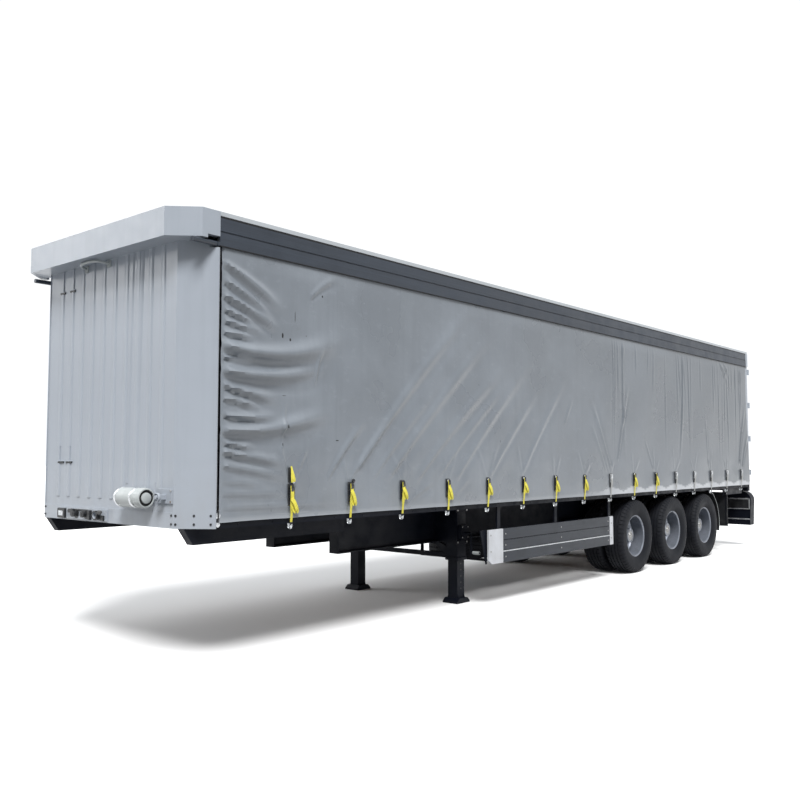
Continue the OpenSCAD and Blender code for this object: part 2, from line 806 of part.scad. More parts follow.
// Two lock rods with their guides and a handle each
module lock_gear() {
    rod_x = -body_l - rod_r - 2;
    gear_x = -body_l - 2 * rod_r - 4;
    guide_h = 50;
    guide_step = (door_top - door_z - 90) / 4;
    for (y = [door_w * 0.24, door_w * 0.76]) {
        translate([rod_x, y, door_z + 20]) cylinder(h = door_top - door_z - 40, r = rod_r);
        for (i = [0:4], low = door_z + 20 + i * guide_step)
            block(gear_x, -body_l, y - 30, y + 30, low, low + guide_h);
        block(gear_x, -body_l - 6, y, y + 260, floor_z + 560, floor_z + 590);
    }
}

module lock_gear_left() color("silver") place() lock_gear();
module lock_gear_right() color("silver") place() mirror([0, 1, 0]) lock_gear();

main_beams();
neck_rails();
neck_bolsters();
cross_members();
coupler_plate();
kingpin();
side_raves();
floor_deck();
front_wall();
front_sill();
corner_posts();
header_cap();
roof_panel();
roof_bows();
roof_rails();
rear_posts();
rear_header();
rear_sill();
dock_buffers();
side_pillars();
curtain_poles();
curtain_left();
curtain_right();
curtain_straps();
landing_legs();
landing_brace();
landing_crank();
side_guards();
guard_ends();
guard_posts();
spare_wheel();
spare_carrier();
axles();
spring_packs();
spring_hangers();
rear_mudguards();
rear_bumper();
rear_lamps();
document_tube();
service_panel();
air_tank();
tyres_1_left();
tyres_1_right();
tyres_2_left();
tyres_2_right();
tyres_3_left();
tyres_3_right();
rims_1_left();
rims_1_right();
rims_2_left();
rims_2_right();
rims_3_left();
rims_3_right();
rear_door_left();
rear_door_right();
lock_gear_left();
lock_gear_right();
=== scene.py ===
"""Curtain-side semi trailer: cloth, webbing, tyres, fittings and finishes round a packed frame.

Lengths are in metres. +X is forward, +Y is the trailer's left side, +Z is up.
"""
import json
import math

import bmesh
import bpy
import numpy as np
from bpy.props import FloatProperty, FloatVectorProperty, IntProperty, PointerProperty
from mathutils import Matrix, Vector


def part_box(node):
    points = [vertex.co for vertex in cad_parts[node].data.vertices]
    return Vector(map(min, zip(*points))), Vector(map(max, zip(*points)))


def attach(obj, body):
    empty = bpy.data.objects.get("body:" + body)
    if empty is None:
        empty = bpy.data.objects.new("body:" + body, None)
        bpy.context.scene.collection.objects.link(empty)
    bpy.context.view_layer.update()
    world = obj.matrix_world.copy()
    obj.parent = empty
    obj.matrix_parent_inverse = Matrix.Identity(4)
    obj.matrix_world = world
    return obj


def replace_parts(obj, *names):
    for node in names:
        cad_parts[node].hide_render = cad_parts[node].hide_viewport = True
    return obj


bl_info = {
    "name": "Curtain-side semi trailer",
    "version": (1, 0, 0),
    "blender": (4, 5, 0),
    "location": "3D View > Sidebar > Trailer",
    "description": "Cloth, webbing, tyres, fittings and finishes round a packed semi trailer",
    "category": "Object",
}

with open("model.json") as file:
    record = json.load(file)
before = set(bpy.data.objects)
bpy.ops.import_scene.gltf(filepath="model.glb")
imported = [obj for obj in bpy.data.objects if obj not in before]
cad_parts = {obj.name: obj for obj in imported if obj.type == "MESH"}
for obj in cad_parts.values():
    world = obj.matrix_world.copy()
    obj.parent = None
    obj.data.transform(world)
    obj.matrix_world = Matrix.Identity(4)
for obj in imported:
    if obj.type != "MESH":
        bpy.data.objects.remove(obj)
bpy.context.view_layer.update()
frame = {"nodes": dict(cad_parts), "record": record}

BODY = "trailer_body"
SIDES = (("left", 1), ("right", -1))
WALL_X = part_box("front_wall")[1].x
DOORS_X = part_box("dock_buffers")[1].x
SILL_LOW, SILL_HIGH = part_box("front_sill")
HEADER_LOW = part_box("header_cap")[0]
CLOTH_LOW, CLOTH_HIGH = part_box("curtain_left")
STRAPS_LOW, STRAPS_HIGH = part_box("curtain_straps")
RAVE_LOW, RAVE_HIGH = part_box("side_raves")
STRAP_COUNT = 16
STRAP_HALF = 0.028
STRAP_X = np.linspace(STRAPS_HIGH.x - STRAP_HALF, STRAPS_LOW.x + STRAP_HALF, STRAP_COUNT)


# ---------------------------------------------------------------- shapes

def grid_faces(rows, columns, close_rows, close_columns):
    """Quads of a rows by columns grid of points, joined round where it is closed."""
    r = np.arange(rows - (not close_rows))
    c = np.arange(columns - (not close_columns))
    r, c = np.meshgrid(r, c, indexing="ij")
    r2, c2 = (r + 1) % rows, (c + 1) % columns
    corners = [r * columns + c, r2 * columns + c, r2 * columns + c2, r * columns + c2]
    return np.stack(corners, -1).reshape(-1, 4)


class Shape:
    """Grids of points gathered into one mesh, each with its own finish and its own lie on the surface."""

    def __init__(self):
        self.points, self.lies, self.faces, self.finishes = [], [], [], []
        self.count = 0

    def add(self, points, close_rows=False, close_columns=True, finish=0, lie=None):
        """Adds a rows x columns x 3 grid; lie holds where each point is along and across its own strip."""
        rows, columns = points.shape[:2]
        faces = grid_faces(rows, columns, close_rows, close_columns)
        self.faces.append(faces + self.count)
        self.points.append(points.reshape(-1, 3))
        self.lies.append(np.zeros((rows * columns, 3)) if lie is None else lie.reshape(-1, 3))
        self.finishes.append(np.full(len(faces), finish))
        self.count += rows * columns
        return self

    def build(self, name, finishes, slot, body=BODY, sheet=False, crease=35):
        """Makes one object of the grids, welds its seams, turns its faces outwards and rides it on a body."""
        mesh = bpy.data.meshes.new(name)
        mesh.from_pydata(np.concatenate(self.points).tolist(), [], np.concatenate(self.faces).tolist())
        mesh.polygons.foreach_set("material_index", np.concatenate(self.finishes).astype(np.int32))
        lie = mesh.attributes.new("lie", "FLOAT_VECTOR", "POINT")
        lie.data.foreach_set("vector", np.concatenate(self.lies).astype(np.float32).ravel())
        if not sheet:
            work = bmesh.new()
            work.from_mesh(mesh)
            bmesh.ops.remove_doubles(work, verts=work.verts, dist=1e-6)
            bmesh.ops.recalc_face_normals(work, faces=work.faces)
            work.to_mesh(mesh)
            work.free()
        for finish in finishes:
            mesh.materials.append(finish)
        mesh.shade_smooth()
        mesh.set_sharp_from_angle(angle=math.radians(crease))
        piece = bpy.data.objects.new(name, mesh)
        bpy.context.scene.collection.objects.link(piece)
        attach(piece, body)
        return piece


def mirrored(points, side):
    """The same points on the left, side 1, or on the right, side -1."""
    return points * np.array([1.0, side, 1.0])


def turned(profile, centre, axis, count, start=0.0):
    """A profile of (radius, height) carried round an axis: a ring of count points at each height."""
    angle = start + np.linspace(0, 2 * math.pi, count, endpoint=False)
    radius, height = np.array(profile, float).T
    ring = np.stack([radius[:, None] * np.cos(angle), radius[:, None] * np.sin(angle),
                     np.repeat(height[:, None], count, 1)], -1)
    order = {"x": (2, 0, 1), "y": (1, 2, 0), "z": (0, 1, 2)}[axis]
    return ring[..., order] + np.array(centre, float)


def capped(rings):
    """Rings of points with both ends closed at their middles: rows x columns x 3, two rows longer."""
    ends = np.repeat(rings.mean(1, keepdims=True), rings.shape[1], 1)
    return np.concatenate([ends[:1], rings, ends[-1:]])


def rod(start, end, radius, count=10, bevel=0.0):
    """A round bar from start to end with its ends closed, and turned down by bevel."""
    start, end = np.array(start, float), np.array(end, float)
    line = end - start
    length = np.linalg.norm(line)
    line /= length
    side = np.cross(line, [0.0, 0.0, 1.0] if abs(line[2]) < 0.9 else [1.0, 0.0, 0.0])
    side /= np.linalg.norm(side)
    other = np.cross(line, side)
    inner = radius - bevel
    profile = [(0, 0), (inner, 0), (radius, bevel), (radius, length - bevel), (inner, length), (0, length)]
    angle = np.linspace(0, 2 * math.pi, count, endpoint=False)
    ring = np.cos(angle)[:, None] * side + np.sin(angle)[:, None] * other
    return np.stack([start + line * h + r * ring for r, h in profile])


def slab(low, high, bevel=0.002):
    """A block between two corners with every edge turned down by bevel: rings of eight points along Z."""
    (x0, y0, z0), (x1, y1, z1) = low, high
    rows = []
    for z, inset in ((z0, None), (z0, bevel), (z0 + bevel, 0), (z1 - bevel, 0), (z1, bevel), (z1, None)):
        if inset is None:
            rows.append([((x0 + x1) / 2, (y0 + y1) / 2, z)] * 8)
            continue
        a0, a1, b0, b1 = x0 + inset, x1 - inset, y0 + inset, y1 - inset
        rows.append([(a0 + bevel, b0, z), (a1 - bevel, b0, z), (a1, b0 + bevel, z), (a1, b1 - bevel, z),
                     (a1 - bevel, b1, z), (a0 + bevel, b1, z), (a0, b1 - bevel, z), (a0, b0 + bevel, z)])
    return np.array(rows)


def curve(points, count):
    """A smooth line through a few points, by Catmull-Rom weights, with count points evenly spread in turn."""
    p = np.array(points, float)
    p = np.concatenate([[2 * p[0] - p[1]], p, [2 * p[-1] - p[-2]]])
    t = np.linspace(0, len(p) - 3 - 1e-9, count)
    k = t.astype(int)
    f = (t - k)[:, None]
    a, b, c, d = p[k], p[k + 1], p[k + 2], p[k + 3]
    square, cube = 2 * a - 5 * b + 4 * c - d, 3 * b - a - 3 * c + d
    return 0.5 * (2 * b + (c - a) * f + square * f ** 2 + cube * f ** 3)


def frames_along(path, out):
    """Unit directions on a path: along it, across it, and away from its surface, nearest to out."""
    along = np.gradient(path, axis=0)
    along /= np.linalg.norm(along, axis=1)[:, None]
    across = np.cross(along, np.broadcast_to(np.array(out, float), path.shape))
    across /= np.linalg.norm(across, axis=1)[:, None]
    return along, across, np.cross(across, along)


def swept(path, section, out=(0, 1, 0), scale=None):
    """A closed section of (across, away) points carried along a path, its ends closed at their middles."""
    _, across, away = frames_along(path, out)
    size = np.ones(len(path)) if scale is None else scale
    s = np.array(section, float)
    rings = across[:, None] * s[None, :, 0, None] + away[:, None] * s[None, :, 1, None]
    return capped(path[:, None] + rings * size[:, None, None])


def circle(radius, count=10):
    """A round section."""
    a = np.linspace(0, 2 * math.pi, count, endpoint=False)
    return np.stack([radius * np.cos(a), radius * np.sin(a)], -1)


def strip(width, thick):
    """A flat webbing section with rounded selvedges."""
    w, t, e = width / 2, thick / 2, thick / 2
    return np.array([(-w, 0), (-w + e, -t), (0, -t), (w - e, -t), (w, 0), (w - e, t), (0, t), (-w + e, t)])


def lie_along(path, section):
    """Where each point of a swept strip lies: metres along the path, metres across it."""
    steps = np.concatenate([[0], np.cumsum(np.linalg.norm(np.diff(path, axis=0), axis=1))])
    steps = np.concatenate([steps[:1], steps, steps[-1:]])
    lie = np.zeros((len(steps), len(section), 3))
    lie[..., 0] = steps[:, None]
    lie[..., 1] = np.array(section)[None, :, 0]
    return lie


def bolt(centre, axis, size=0.012, height=0.008, sides=6):
    """A bolt head: a chamfered prism of that many sides standing out along the axis."""
    h = abs(height)
    s = math.copysign(1, height)
    profile = [(0, 0), (size, 0), (size, 0.75 * s * h), (0.86 * size, s * h), (0, s * h)]
    return turned(profile, centre, axis, sides, 0.26)


def smooth_step(value, low, high):
    """0 below low, 1 above high, and an S curve between them."""
    t = np.clip((value - low) / (high - low), 0, 1)
    return t * t * (3 - 2 * t)


# ---------------------------------------------------------------- finishes

class Finish:
    """One material: a Principled shader and the nodes that give it its pattern."""

    def __init__(self, name, roughness=0.5, metallic=0.0, specular=0.5, coat=0.0):
        self.material = bpy.data.materials.new(name)
        self.material.use_nodes = True
        self.tree = self.material.node_tree
        self.shader = self.tree.nodes["Principled BSDF"]
        self.plug(self.shader, "Roughness", roughness)
        self.plug(self.shader, "Metallic", metallic)
        self.plug(self.shader, "Specular IOR Level", specular)
        self.plug(self.shader, "Coat Weight", coat)
        self.place = self.add("TexCoord").outputs["Object"]
        self.height = None

    def add(self, kind, sockets=None, **settings):
        """A node of that kind with its settings, and its sockets fed by values or by other nodes."""
        node = self.tree.nodes.new("ShaderNode" + kind)
        for name, value in settings.items():
            setattr(node, name, value)
        for name, value in (sockets or {}).items():
            self.plug(node, name, value)
        return node

    def plug(self, node, name, value):
        """Feeds a socket from another socket, or sets its value."""
        if isinstance(value, bpy.types.NodeSocket):
            self.tree.links.new(value, node.inputs[name])
        else:
            node.inputs[name].default_value = value

    def stretch(self, scale, vector=None):
        """The object's coordinates squeezed along each axis."""
        return self.add("Mapping", {"Vector": vector or self.place, "Scale": scale}).outputs[0]

    def noise(self, scale, detail=4.0, vector=None, rough=0.55):
        """Cloudy values about a half."""
        return self.add("TexNoise", {"Vector": vector or self.place, "Scale": scale, "Detail": detail,
                                     "Roughness": rough}).outputs[0]

    def band(self, value, low, high, bottom=0.0, top=1.0):
        """The value carried from low..high onto bottom..top, and held outside."""
        return self.add("MapRange", {"Value": value, "From Min": low, "From Max": high,
                                     "To Min": bottom, "To Max": top}).outputs[0]

    def maths(self, operation, first, second):
        """Two values added, multiplied and so on."""
        node = self.add("Math", operation=operation)
        self.plug(node, 0, first)
        self.plug(node, 1, second)
        return node.outputs[0]

    def mix(self, share, first, second):
        """The first colour turned into the second by share."""
        node = self.add("Mix", data_type="RGBA")
        for index, value in ((0, share), (6, first), (7, second)):
            if not isinstance(value, (bpy.types.NodeSocket, float)):
                value = (*value, 1.0)
            self.plug(node, index, value)
        return node.outputs[2]

    def part(self, vector, axis):
        """One coordinate of a vector."""
        return self.add("SeparateXYZ", {"Vector": vector}).outputs[axis]

    def bump(self, height, distance, strength=1.0):
        """Relief of that many metres on top of any given before."""
        sockets = {"Height": height, "Distance": distance, "Strength": strength}
        if self.height is not None:
            sockets["Normal"] = self.height
        self.height = self.add("Bump", sockets).outputs[0]

    def done(self, colour=None, roughness=None):
        """Joins the pattern to the shader."""
        if colour is not None:
            self.plug(self.shader, "Base Color", colour)
        if roughness is not None:
            self.plug(self.shader, "Roughness", roughness)
        if self.height is not None:
            self.plug(self.shader, "Normal", self.height)
        return self.material


def shade(colour, factor):
    """A colour made lighter or darker."""
    return tuple(min(1.0, c * factor) for c in colour)


def panel_paint(name, colour, grime=0.5):
    """Semi-gloss painted panel: run-off streaks, dusty feet, faint panel waviness and orange peel."""
    f = Finish(name, specular=0.45, coat=0.12)
    streaks = f.band(f.noise(1.0, 5.0, f.stretch((13, 13, 0.5))), 0.48, 0.74)
    clouds = f.band(f.noise(1.6, 3.0), 0.42, 0.7)
    foot = f.band(f.part(f.place, 2), 1.75, 1.05)
    dust = f.maths("MULTIPLY", foot, f.band(f.noise(7.0, 6.0), 0.3, 0.75))
    base = f.mix(f.maths("MULTIPLY", streaks, 0.30 * grime), colour, shade(colour, 0.62))
    base = f.mix(f.maths("MULTIPLY", clouds, 0.22), base, shade(colour, 1.10))
    base = f.mix(f.maths("MULTIPLY", dust, 0.5 * grime), base, (0.30, 0.29, 0.27))
    specks = f.band(f.noise(95.0, 2.0), 0.70, 0.76)
    base = f.mix(f.maths("MULTIPLY", specks, 0.35 * grime), base, (0.16, 0.14, 0.12))
    f.bump(f.noise(1.3, 2.0), 0.010, 0.35)
    f.bump(f.noise(420.0, 2.0), 0.0004, 0.25)
    return f.done(base, f.band(f.noise(9.0, 5.0), 0.3, 0.7, 0.30, 0.46))


def chassis_paint(name, colour):
    """Near-black chassis enamel with road dust, chips and a little rust."""
    f = Finish(name, specular=0.12)
    dust = f.band(f.noise(3.2, 7.0, rough=0.68), 0.50, 0.78)
    spray = f.band(f.noise(38.0, 4.0), 0.50, 0.80)
    rust = f.band(f.noise(11.0, 9.0, rough=0.72), 0.665, 0.72)
    base = f.mix(f.maths("MULTIPLY", dust, 0.30), colour, (0.008, 0.011, 0.018))
    base = f.mix(f.maths("MULTIPLY", spray, 0.12), base, (0.022, 0.024, 0.028))
    base = f.mix(f.maths("MULTIPLY", rust, 0.40), base, (0.060, 0.024, 0.012))
    f.bump(f.noise(160.0, 3.0), 0.0008, 0.35)
    f.bump(rust, 0.0010, 0.3)
    return f.done(base, f.band(f.noise(6.0, 6.0), 0.35, 0.7, 0.34, 0.66))


def rail_paint(name, colour):
    """Extruded rail in satin slate paint: fine draw lines along X and rubbed patches."""
    f = Finish(name, specular=0.5, coat=0.05)
    lines = f.noise(1.0, 2.0, f.stretch((0.4, 260, 260)))
    rub = f.band(f.noise(2.2, 6.0, f.stretch((0.35, 3, 3)), 0.7), 0.46, 0.74)
    base = f.mix(f.band(lines, 0.35, 0.65), shade(colour, 0.86), shade(colour, 1.14))
    base = f.mix(f.maths("MULTIPLY", rub, 0.40), base, shade(colour, 1.7))
    f.bump(lines, 0.0005, 0.35)
    return f.done(base, f.band(f.noise(5.0, 5.0), 0.3, 0.7, 0.36, 0.56))


def roof_skin(name):
    """Translucent-looking pale roof skin with soot and rain marks."""
    f = Finish(name, roughness=0.5, specular=0.4)
    marks = f.band(f.noise(1.4, 7.0, rough=0.66), 0.44, 0.75)
    base = f.mix(f.maths("MULTIPLY", marks, 0.4), (0.50, 0.53, 0.56), (0.34, 0.36, 0.37))
    f.bump(f.noise(2.0, 3.0), 0.012, 0.4)
    f.bump(f.noise(700.0, 1.0), 0.0003, 0.3)
    return f.done(base, f.band(marks, 0, 1, 0.42, 0.62))


def guard_paint(name):
    """Dark anodised planks: brushed along X, with road film low down."""
    f = Finish(name, metallic=0.1, specular=0.25)
    lines = f.noise(1.0, 3.0, f.stretch((0.6, 300, 300)))
    road_film_and_painted_shade = f.band(f.noise(4.0, 7.0, rough=0.7), 0.45, 0.75)
    base = f.mix(f.band(lines, 0.3, 0.7), (0.017, 0.021, 0.029), (0.030, 0.036, 0.047))
    base = f.mix(f.maths("MULTIPLY", road_film_and_painted_shade, 0.3), base, (0.075, 0.074, 0.072))
    f.bump(lines, 0.0004, 0.4)
    return f.done(base, f.band(road_film_and_painted_shade, 0, 1, 0.34, 0.60))


def galvanised(name):
    """Zinc coating: frosty spangles of unlike grey, with dull white bloom."""
    f = Finish(name, metallic=0.85)
    spangle = f.add("TexVoronoi", {"Vector": f.place, "Scale": 75.0}).outputs["Color"]
    tone = f.part(spangle, 0)
    bloom = f.band(f.noise(14.0, 6.0), 0.5, 0.75)
    base = f.mix(tone, (0.40, 0.42, 0.44), (0.66, 0.68, 0.70))
    base = f.mix(f.maths("MULTIPLY", bloom, 0.35), base, (0.72, 0.72, 0.70))
    f.bump(f.noise(120.0, 3.0), 0.0004, 0.3)
    return f.done(base, f.band(tone, 0, 1, 0.32, 0.52))


def bare_steel(name):
    """Worn steel: turned grain with brown rust in the hollows."""
    f = Finish(name, metallic=0.9)
    grain = f.noise(180.0, 3.0)
    rust = f.band(f.noise(22.0, 8.0, rough=0.7), 0.56, 0.68)
    base = f.mix(grain, (0.22, 0.22, 0.22), (0.42, 0.42, 0.41))
    base = f.mix(f.maths("MULTIPLY", rust, 0.6), base, (0.14, 0.060, 0.028))
    f.bump(grain, 0.0004, 0.4)
    return f.done(base, f.band(rust, 0, 1, 0.34, 0.75))


def rim_paint(name, colour):
    """Silver wheel paint under brake dust and dried spray."""
    f = Finish(name, metallic=0.55, coat=0.1)
    dust = f.band(f.noise(9.0, 6.0, rough=0.66), 0.44, 0.76)
    spots = f.band(f.noise(70.0, 3.0), 0.60, 0.74)
    base = f.mix(f.maths("MULTIPLY", dust, 0.55), colour, shade(colour, 0.42))
    base = f.mix(f.maths("MULTIPLY", spots, 0.35), base, (0.12, 0.105, 0.09))
    f.bump(f.noise(240.0, 3.0), 0.0004, 0.3)
    return f.done(base, f.band(dust, 0, 1, 0.32, 0.58))


def tyre_rubber(name):
    """Tyre rubber: grey road bloom in patches over black, and a fine grain."""
    f = Finish(name, specular=0.20)
    bloom = f.band(f.noise(6.0, 7.0, rough=0.7), 0.42, 0.78)
    grit = f.band(f.noise(110.0, 3.0), 0.58, 0.78)
    base = f.mix(f.maths("MULTIPLY", bloom, 0.75), (0.0050, 0.0060, 0.0095), (0.017, 0.018, 0.021))
    base = f.mix(f.maths("MULTIPLY", grit, 0.35), base, (0.045, 0.043, 0.040))
    f.bump(f.noise(300.0, 3.0), 0.0008, 0.4)
    return f.done(base, f.band(bloom, 0, 1, 0.62, 0.86))


def soft_rubber(name):
    """Plain black moulded rubber, scuffed grey."""
    f = Finish(name, specular=0.3)
    scuff = f.band(f.noise(30.0, 6.0, rough=0.7), 0.55, 0.78)
    base = f.mix(f.maths("MULTIPLY", scuff, 0.6), (0.012, 0.012, 0.013), (0.070, 0.068, 0.065))
    f.bump(f.noise(260.0, 3.0), 0.0007, 0.4)
    return f.done(base, f.band(scuff, 0, 1, 0.6, 0.85))


def pole_paint(name):
    """Gloss black tube paint with rub marks."""
    f = Finish(name, coat=0.2)
    rub = f.band(f.noise(25.0, 6.0), 0.55, 0.75)
    base = f.mix(f.maths("MULTIPLY", rub, 0.5), (0.008, 0.009, 0.011), (0.05, 0.05, 0.052))
    f.bump(f.noise(90.0, 3.0), 0.0004, 0.3)
    return f.done(base, f.band(rub, 0, 1, 0.25, 0.5))


def plywood(name):
    """Film-faced floor: brown resin with the grain of the veneer and wheel scuffs along X."""
    f = Finish(name, specular=0.35)
    grain = f.noise(1.0, 6.0, f.stretch((2.2, 34, 34)), 0.62)
    scuff = f.band(f.noise(1.0, 5.0, f.stretch((0.5, 9, 9))), 0.5, 0.72)
    base = f.mix(f.band(grain, 0.32, 0.68), (0.105, 0.052, 0.026), (0.235, 0.135, 0.070))
    base = f.mix(f.maths("MULTIPLY", scuff, 0.45), base, (0.30, 0.25, 0.19))
    f.bump(grain, 0.0009, 0.5)
    return f.done(base, f.band(scuff, 0, 1, 0.45, 0.7))


def moulded_plastic(name, colour):
    """Moulded plastic: stipple, faint flow marks and grey chalking."""
    f = Finish(name, specular=0.4)
    chalk = f.band(f.noise(12.0, 6.0), 0.48, 0.78)
    base = f.mix(f.maths("MULTIPLY", chalk, 0.4), colour, tuple(0.6 * c + 0.06 for c in colour))
    f.bump(f.noise(520.0, 2.0), 0.0005, 0.4)
    return f.done(base, f.band(chalk, 0, 1, 0.38, 0.6))


def lamp_lens(name):
    """Red moulded lens: a fine prism grid under a clear coat."""
    f = Finish(name, roughness=0.16, coat=0.6)
    ribs = f.add("TexWave", {"Vector": f.place, "Scale": 42.0}, bands_direction="Z").outputs["Fac"]
    cells = f.add("TexWave", {"Vector": f.place, "Scale": 42.0}, bands_direction="Y").outputs["Fac"]
    grid = f.maths("MULTIPLY", ribs, cells)
    f.bump(grid, 0.0012, 0.5)
    return f.done(f.mix(grid, (0.20, 0.006, 0.008), (0.52, 0.022, 0.018)))


def cloth_finish(name, colour):
    """Coated curtain cloth: crossed weave, creases rubbed pale, streaks, rear film and a lighter welded hem.

    The lie attribute holds metres behind the front wall, metres above the ground, and how light the hem is.
    """
    f = Finish(name, specular=0.55, coat=0.22)
    lie = f.add("Attribute", attribute_name="lie").outputs["Vector"]
    hem = f.part(lie, 2)
    clouds = f.band(f.noise(1.1, 4.0, lie), 0.38, 0.68)
    rain = f.band(f.noise(1.0, 5.0, f.stretch((9, 0.55, 1), lie)), 0.50, 0.74)
    creases = f.band(f.noise(7.0, 8.0, f.stretch((1, 1.6, 1), lie), 0.7), 0.56, 0.66)
    stains = f.band(f.noise(2.6, 7.0, lie, 0.7), 0.60, 0.76)
    low = f.band(f.part(lie, 1), 1.60, 1.10)
    base = f.mix(clouds, shade(colour, 0.90), shade(colour, 1.10))
    base = f.mix(f.maths("MULTIPLY", rain, 0.26), base, shade(colour, 0.72))
    base = f.mix(f.maths("MULTIPLY", creases, 0.16), base, shade(colour, 1.5))
    base = f.mix(f.maths("MULTIPLY", stains, 0.28), base, (0.16, 0.165, 0.17))
    dust = f.band(f.noise(5.0, 6.0, lie), 0.35, 0.8, 0.0, 0.35)
    base = f.mix(f.maths("MULTIPLY", low, dust), base, (0.22, 0.22, 0.21))
    cells = f.add("TexVoronoi", {"Vector": lie, "Scale": 2.3, "Randomness": 1.0})
    spots = f.band(cells.outputs["Distance"], 0.028, 0.018)
    base = f.mix(f.maths("MULTIPLY", spots, 0.7), base, (0.05, 0.052, 0.055))
    # Painted shade: the cloth is darkened from 3 m to 11 m behind the front wall, so that the rear reads
    # darker.
    road_film_and_painted_shade = f.maths("MULTIPLY", f.band(f.part(lie, 0), 3.0, 11.0), 0.62)
    base = f.mix(road_film_and_painted_shade, base, shade(colour, 0.45))
    base = f.mix(hem, base, (0.50, 0.52, 0.55))
    warp = f.add("TexWave", {"Vector": lie, "Scale": 160.0}, bands_direction="X").outputs["Fac"]
    weft = f.add("TexWave", {"Vector": lie, "Scale": 160.0}, bands_direction="Y").outputs["Fac"]
    f.bump(f.noise(5.5, 6.0, lie, 0.6), 0.006, 0.35)
    f.bump(creases, 0.0015, 0.3)
    f.bump(f.maths("MULTIPLY", warp, weft), 0.0002, 0.3)
    return f.done(base, f.band(clouds, 0, 1, 0.27, 0.40))


def webbing_finish(name, colour):
    """Woven strap: ribs across it, a darker stripe along each selvedge, and grimy patches."""
    f = Finish(name, specular=0.3)
    lie = f.add("Attribute", attribute_name="lie").outputs["Vector"]
    ribs = f.add("TexWave", {"Vector": lie, "Scale": 110.0}, bands_direction="X").outputs["Fac"]
    across = f.maths("ABSOLUTE", f.part(lie, 1), 0.0)
    edge = f.maths("MULTIPLY", f.band(across, 0.0125, 0.0145), f.band(across, 0.0175, 0.0160))
    grime = f.band(f.noise(28.0, 7.0, rough=0.7), 0.50, 0.76)
    base = f.mix(ribs, shade(colour, 0.86), colour)
    base = f.mix(f.maths("MULTIPLY", edge, 0.35), base, shade(colour, 0.5))
    base = f.mix(f.maths("MULTIPLY", grime, 0.30), base, (0.20, 0.17, 0.06))
    f.bump(ribs, 0.0006, 0.6)
    return f.done(base, f.band(grime, 0, 1, 0.62, 0.85))


def finishes_for(scene):
    """Every finish by its slot in the record, made from the colours in the panel."""
    paint = scene.trailer_paint
    return {
        "body_paint": panel_paint("panel_grey", tuple(paint.panels)),
        "chassis_paint": chassis_paint("chassis_enamel", tuple(paint.chassis)),
        "rail_paint": rail_paint("rail_slate", tuple(paint.rails)),
        "roof_skin": roof_skin("roof_skin_pale"),
        "pole_paint": pole_paint("pole_black"),
        "guard_paint": guard_paint("guard_anodised"),
        "galvanised": galvanised("zinc_spangle"),
        "bare_steel": bare_steel("worn_steel"),
        "rim_paint": rim_paint("rim_silver", tuple(paint.rims)),
        "tyre": tyre_rubber("tyre_black"),
        "rubber": soft_rubber("moulded_rubber"),
        "plywood": plywood("floor_veneer"),
        "curtain_cloth": cloth_finish("curtain_grey", tuple(scene.trailer_curtain.colour)),
        "strap_webbing": webbing_finish("webbing_yellow", tuple(scene.trailer_straps.colour)),
        "spare_webbing": webbing_finish("webbing_pale", (0.50, 0.51, 0.50)),
        "black_plastic": moulded_plastic("plastic_black", (0.016, 0.017, 0.019)),
        "grey_plastic": moulded_plastic("plastic_pale", (0.46, 0.49, 0.49)),
        "guard_end_paint": panel_paint("guard_end_grey", (0.60, 0.62, 0.66), 0.6),
        "lamp_lens": lamp_lens("lens_red"),
    }


FINISH = {}


# ---------------------------------------------------------------- curtains

# A pleat is where it starts and ends (metres behind the front wall, metres above the ground), how far
# it bows upwards, how wide it is at its end, and how deep it is
POLE_PLEATS = [
    ((0.262, 3.20), (0.92, 2.84), 0.03, 0.060, 0.012), ((0.262, 3.06), (0.80, 2.80), 0.02, 0.050, 0.011),
    ((0.262, 2.94), (0.86, 2.70), 0.02, 0.050, 0.013), ((0.262, 2.83), (0.60, 2.75), 0.00, 0.034, 0.010),
    ((0.262, 2.74), (0.66, 2.68), 0.00, 0.034, 0.009), ((0.262, 2.64), (0.60, 2.63), 0.00, 0.036, 0.010),
    ((0.262, 2.54), (1.66, 2.74), -0.11, 0.105, 0.022), ((0.262, 2.45), (0.64, 2.43), 0.00, 0.040, 0.010),
    ((0.262, 2.34), (1.56, 2.54), -0.09, 0.090, 0.018), ((0.262, 2.22), (0.85, 2.12), 0.00, 0.045, 0.012),
    ((0.262, 2.11), (0.66, 2.06), 0.01, 0.036, 0.009), ((0.262, 1.99), (0.90, 2.00), -0.02, 0.045, 0.011),
    ((0.262, 1.86), (1.50, 2.07), -0.06, 0.085, 0.018), ((0.262, 1.77), (0.62, 1.72), 0.00, 0.034, 0.009),
    ((0.262, 1.69), (0.98, 1.58), 0.01, 0.050, 0.012), ((0.262, 1.58), (1.00, 1.47), 0.01, 0.050, 0.010),
    ((0.262, 1.46), (0.72, 1.42), 0.00, 0.036, 0.008), ((0.262, 1.36), (1.02, 1.35), 0.00, 0.050, 0.009),
    ((0.262, 1.25), (1.70, 1.24), 0.00, 0.045, 0.008),
]
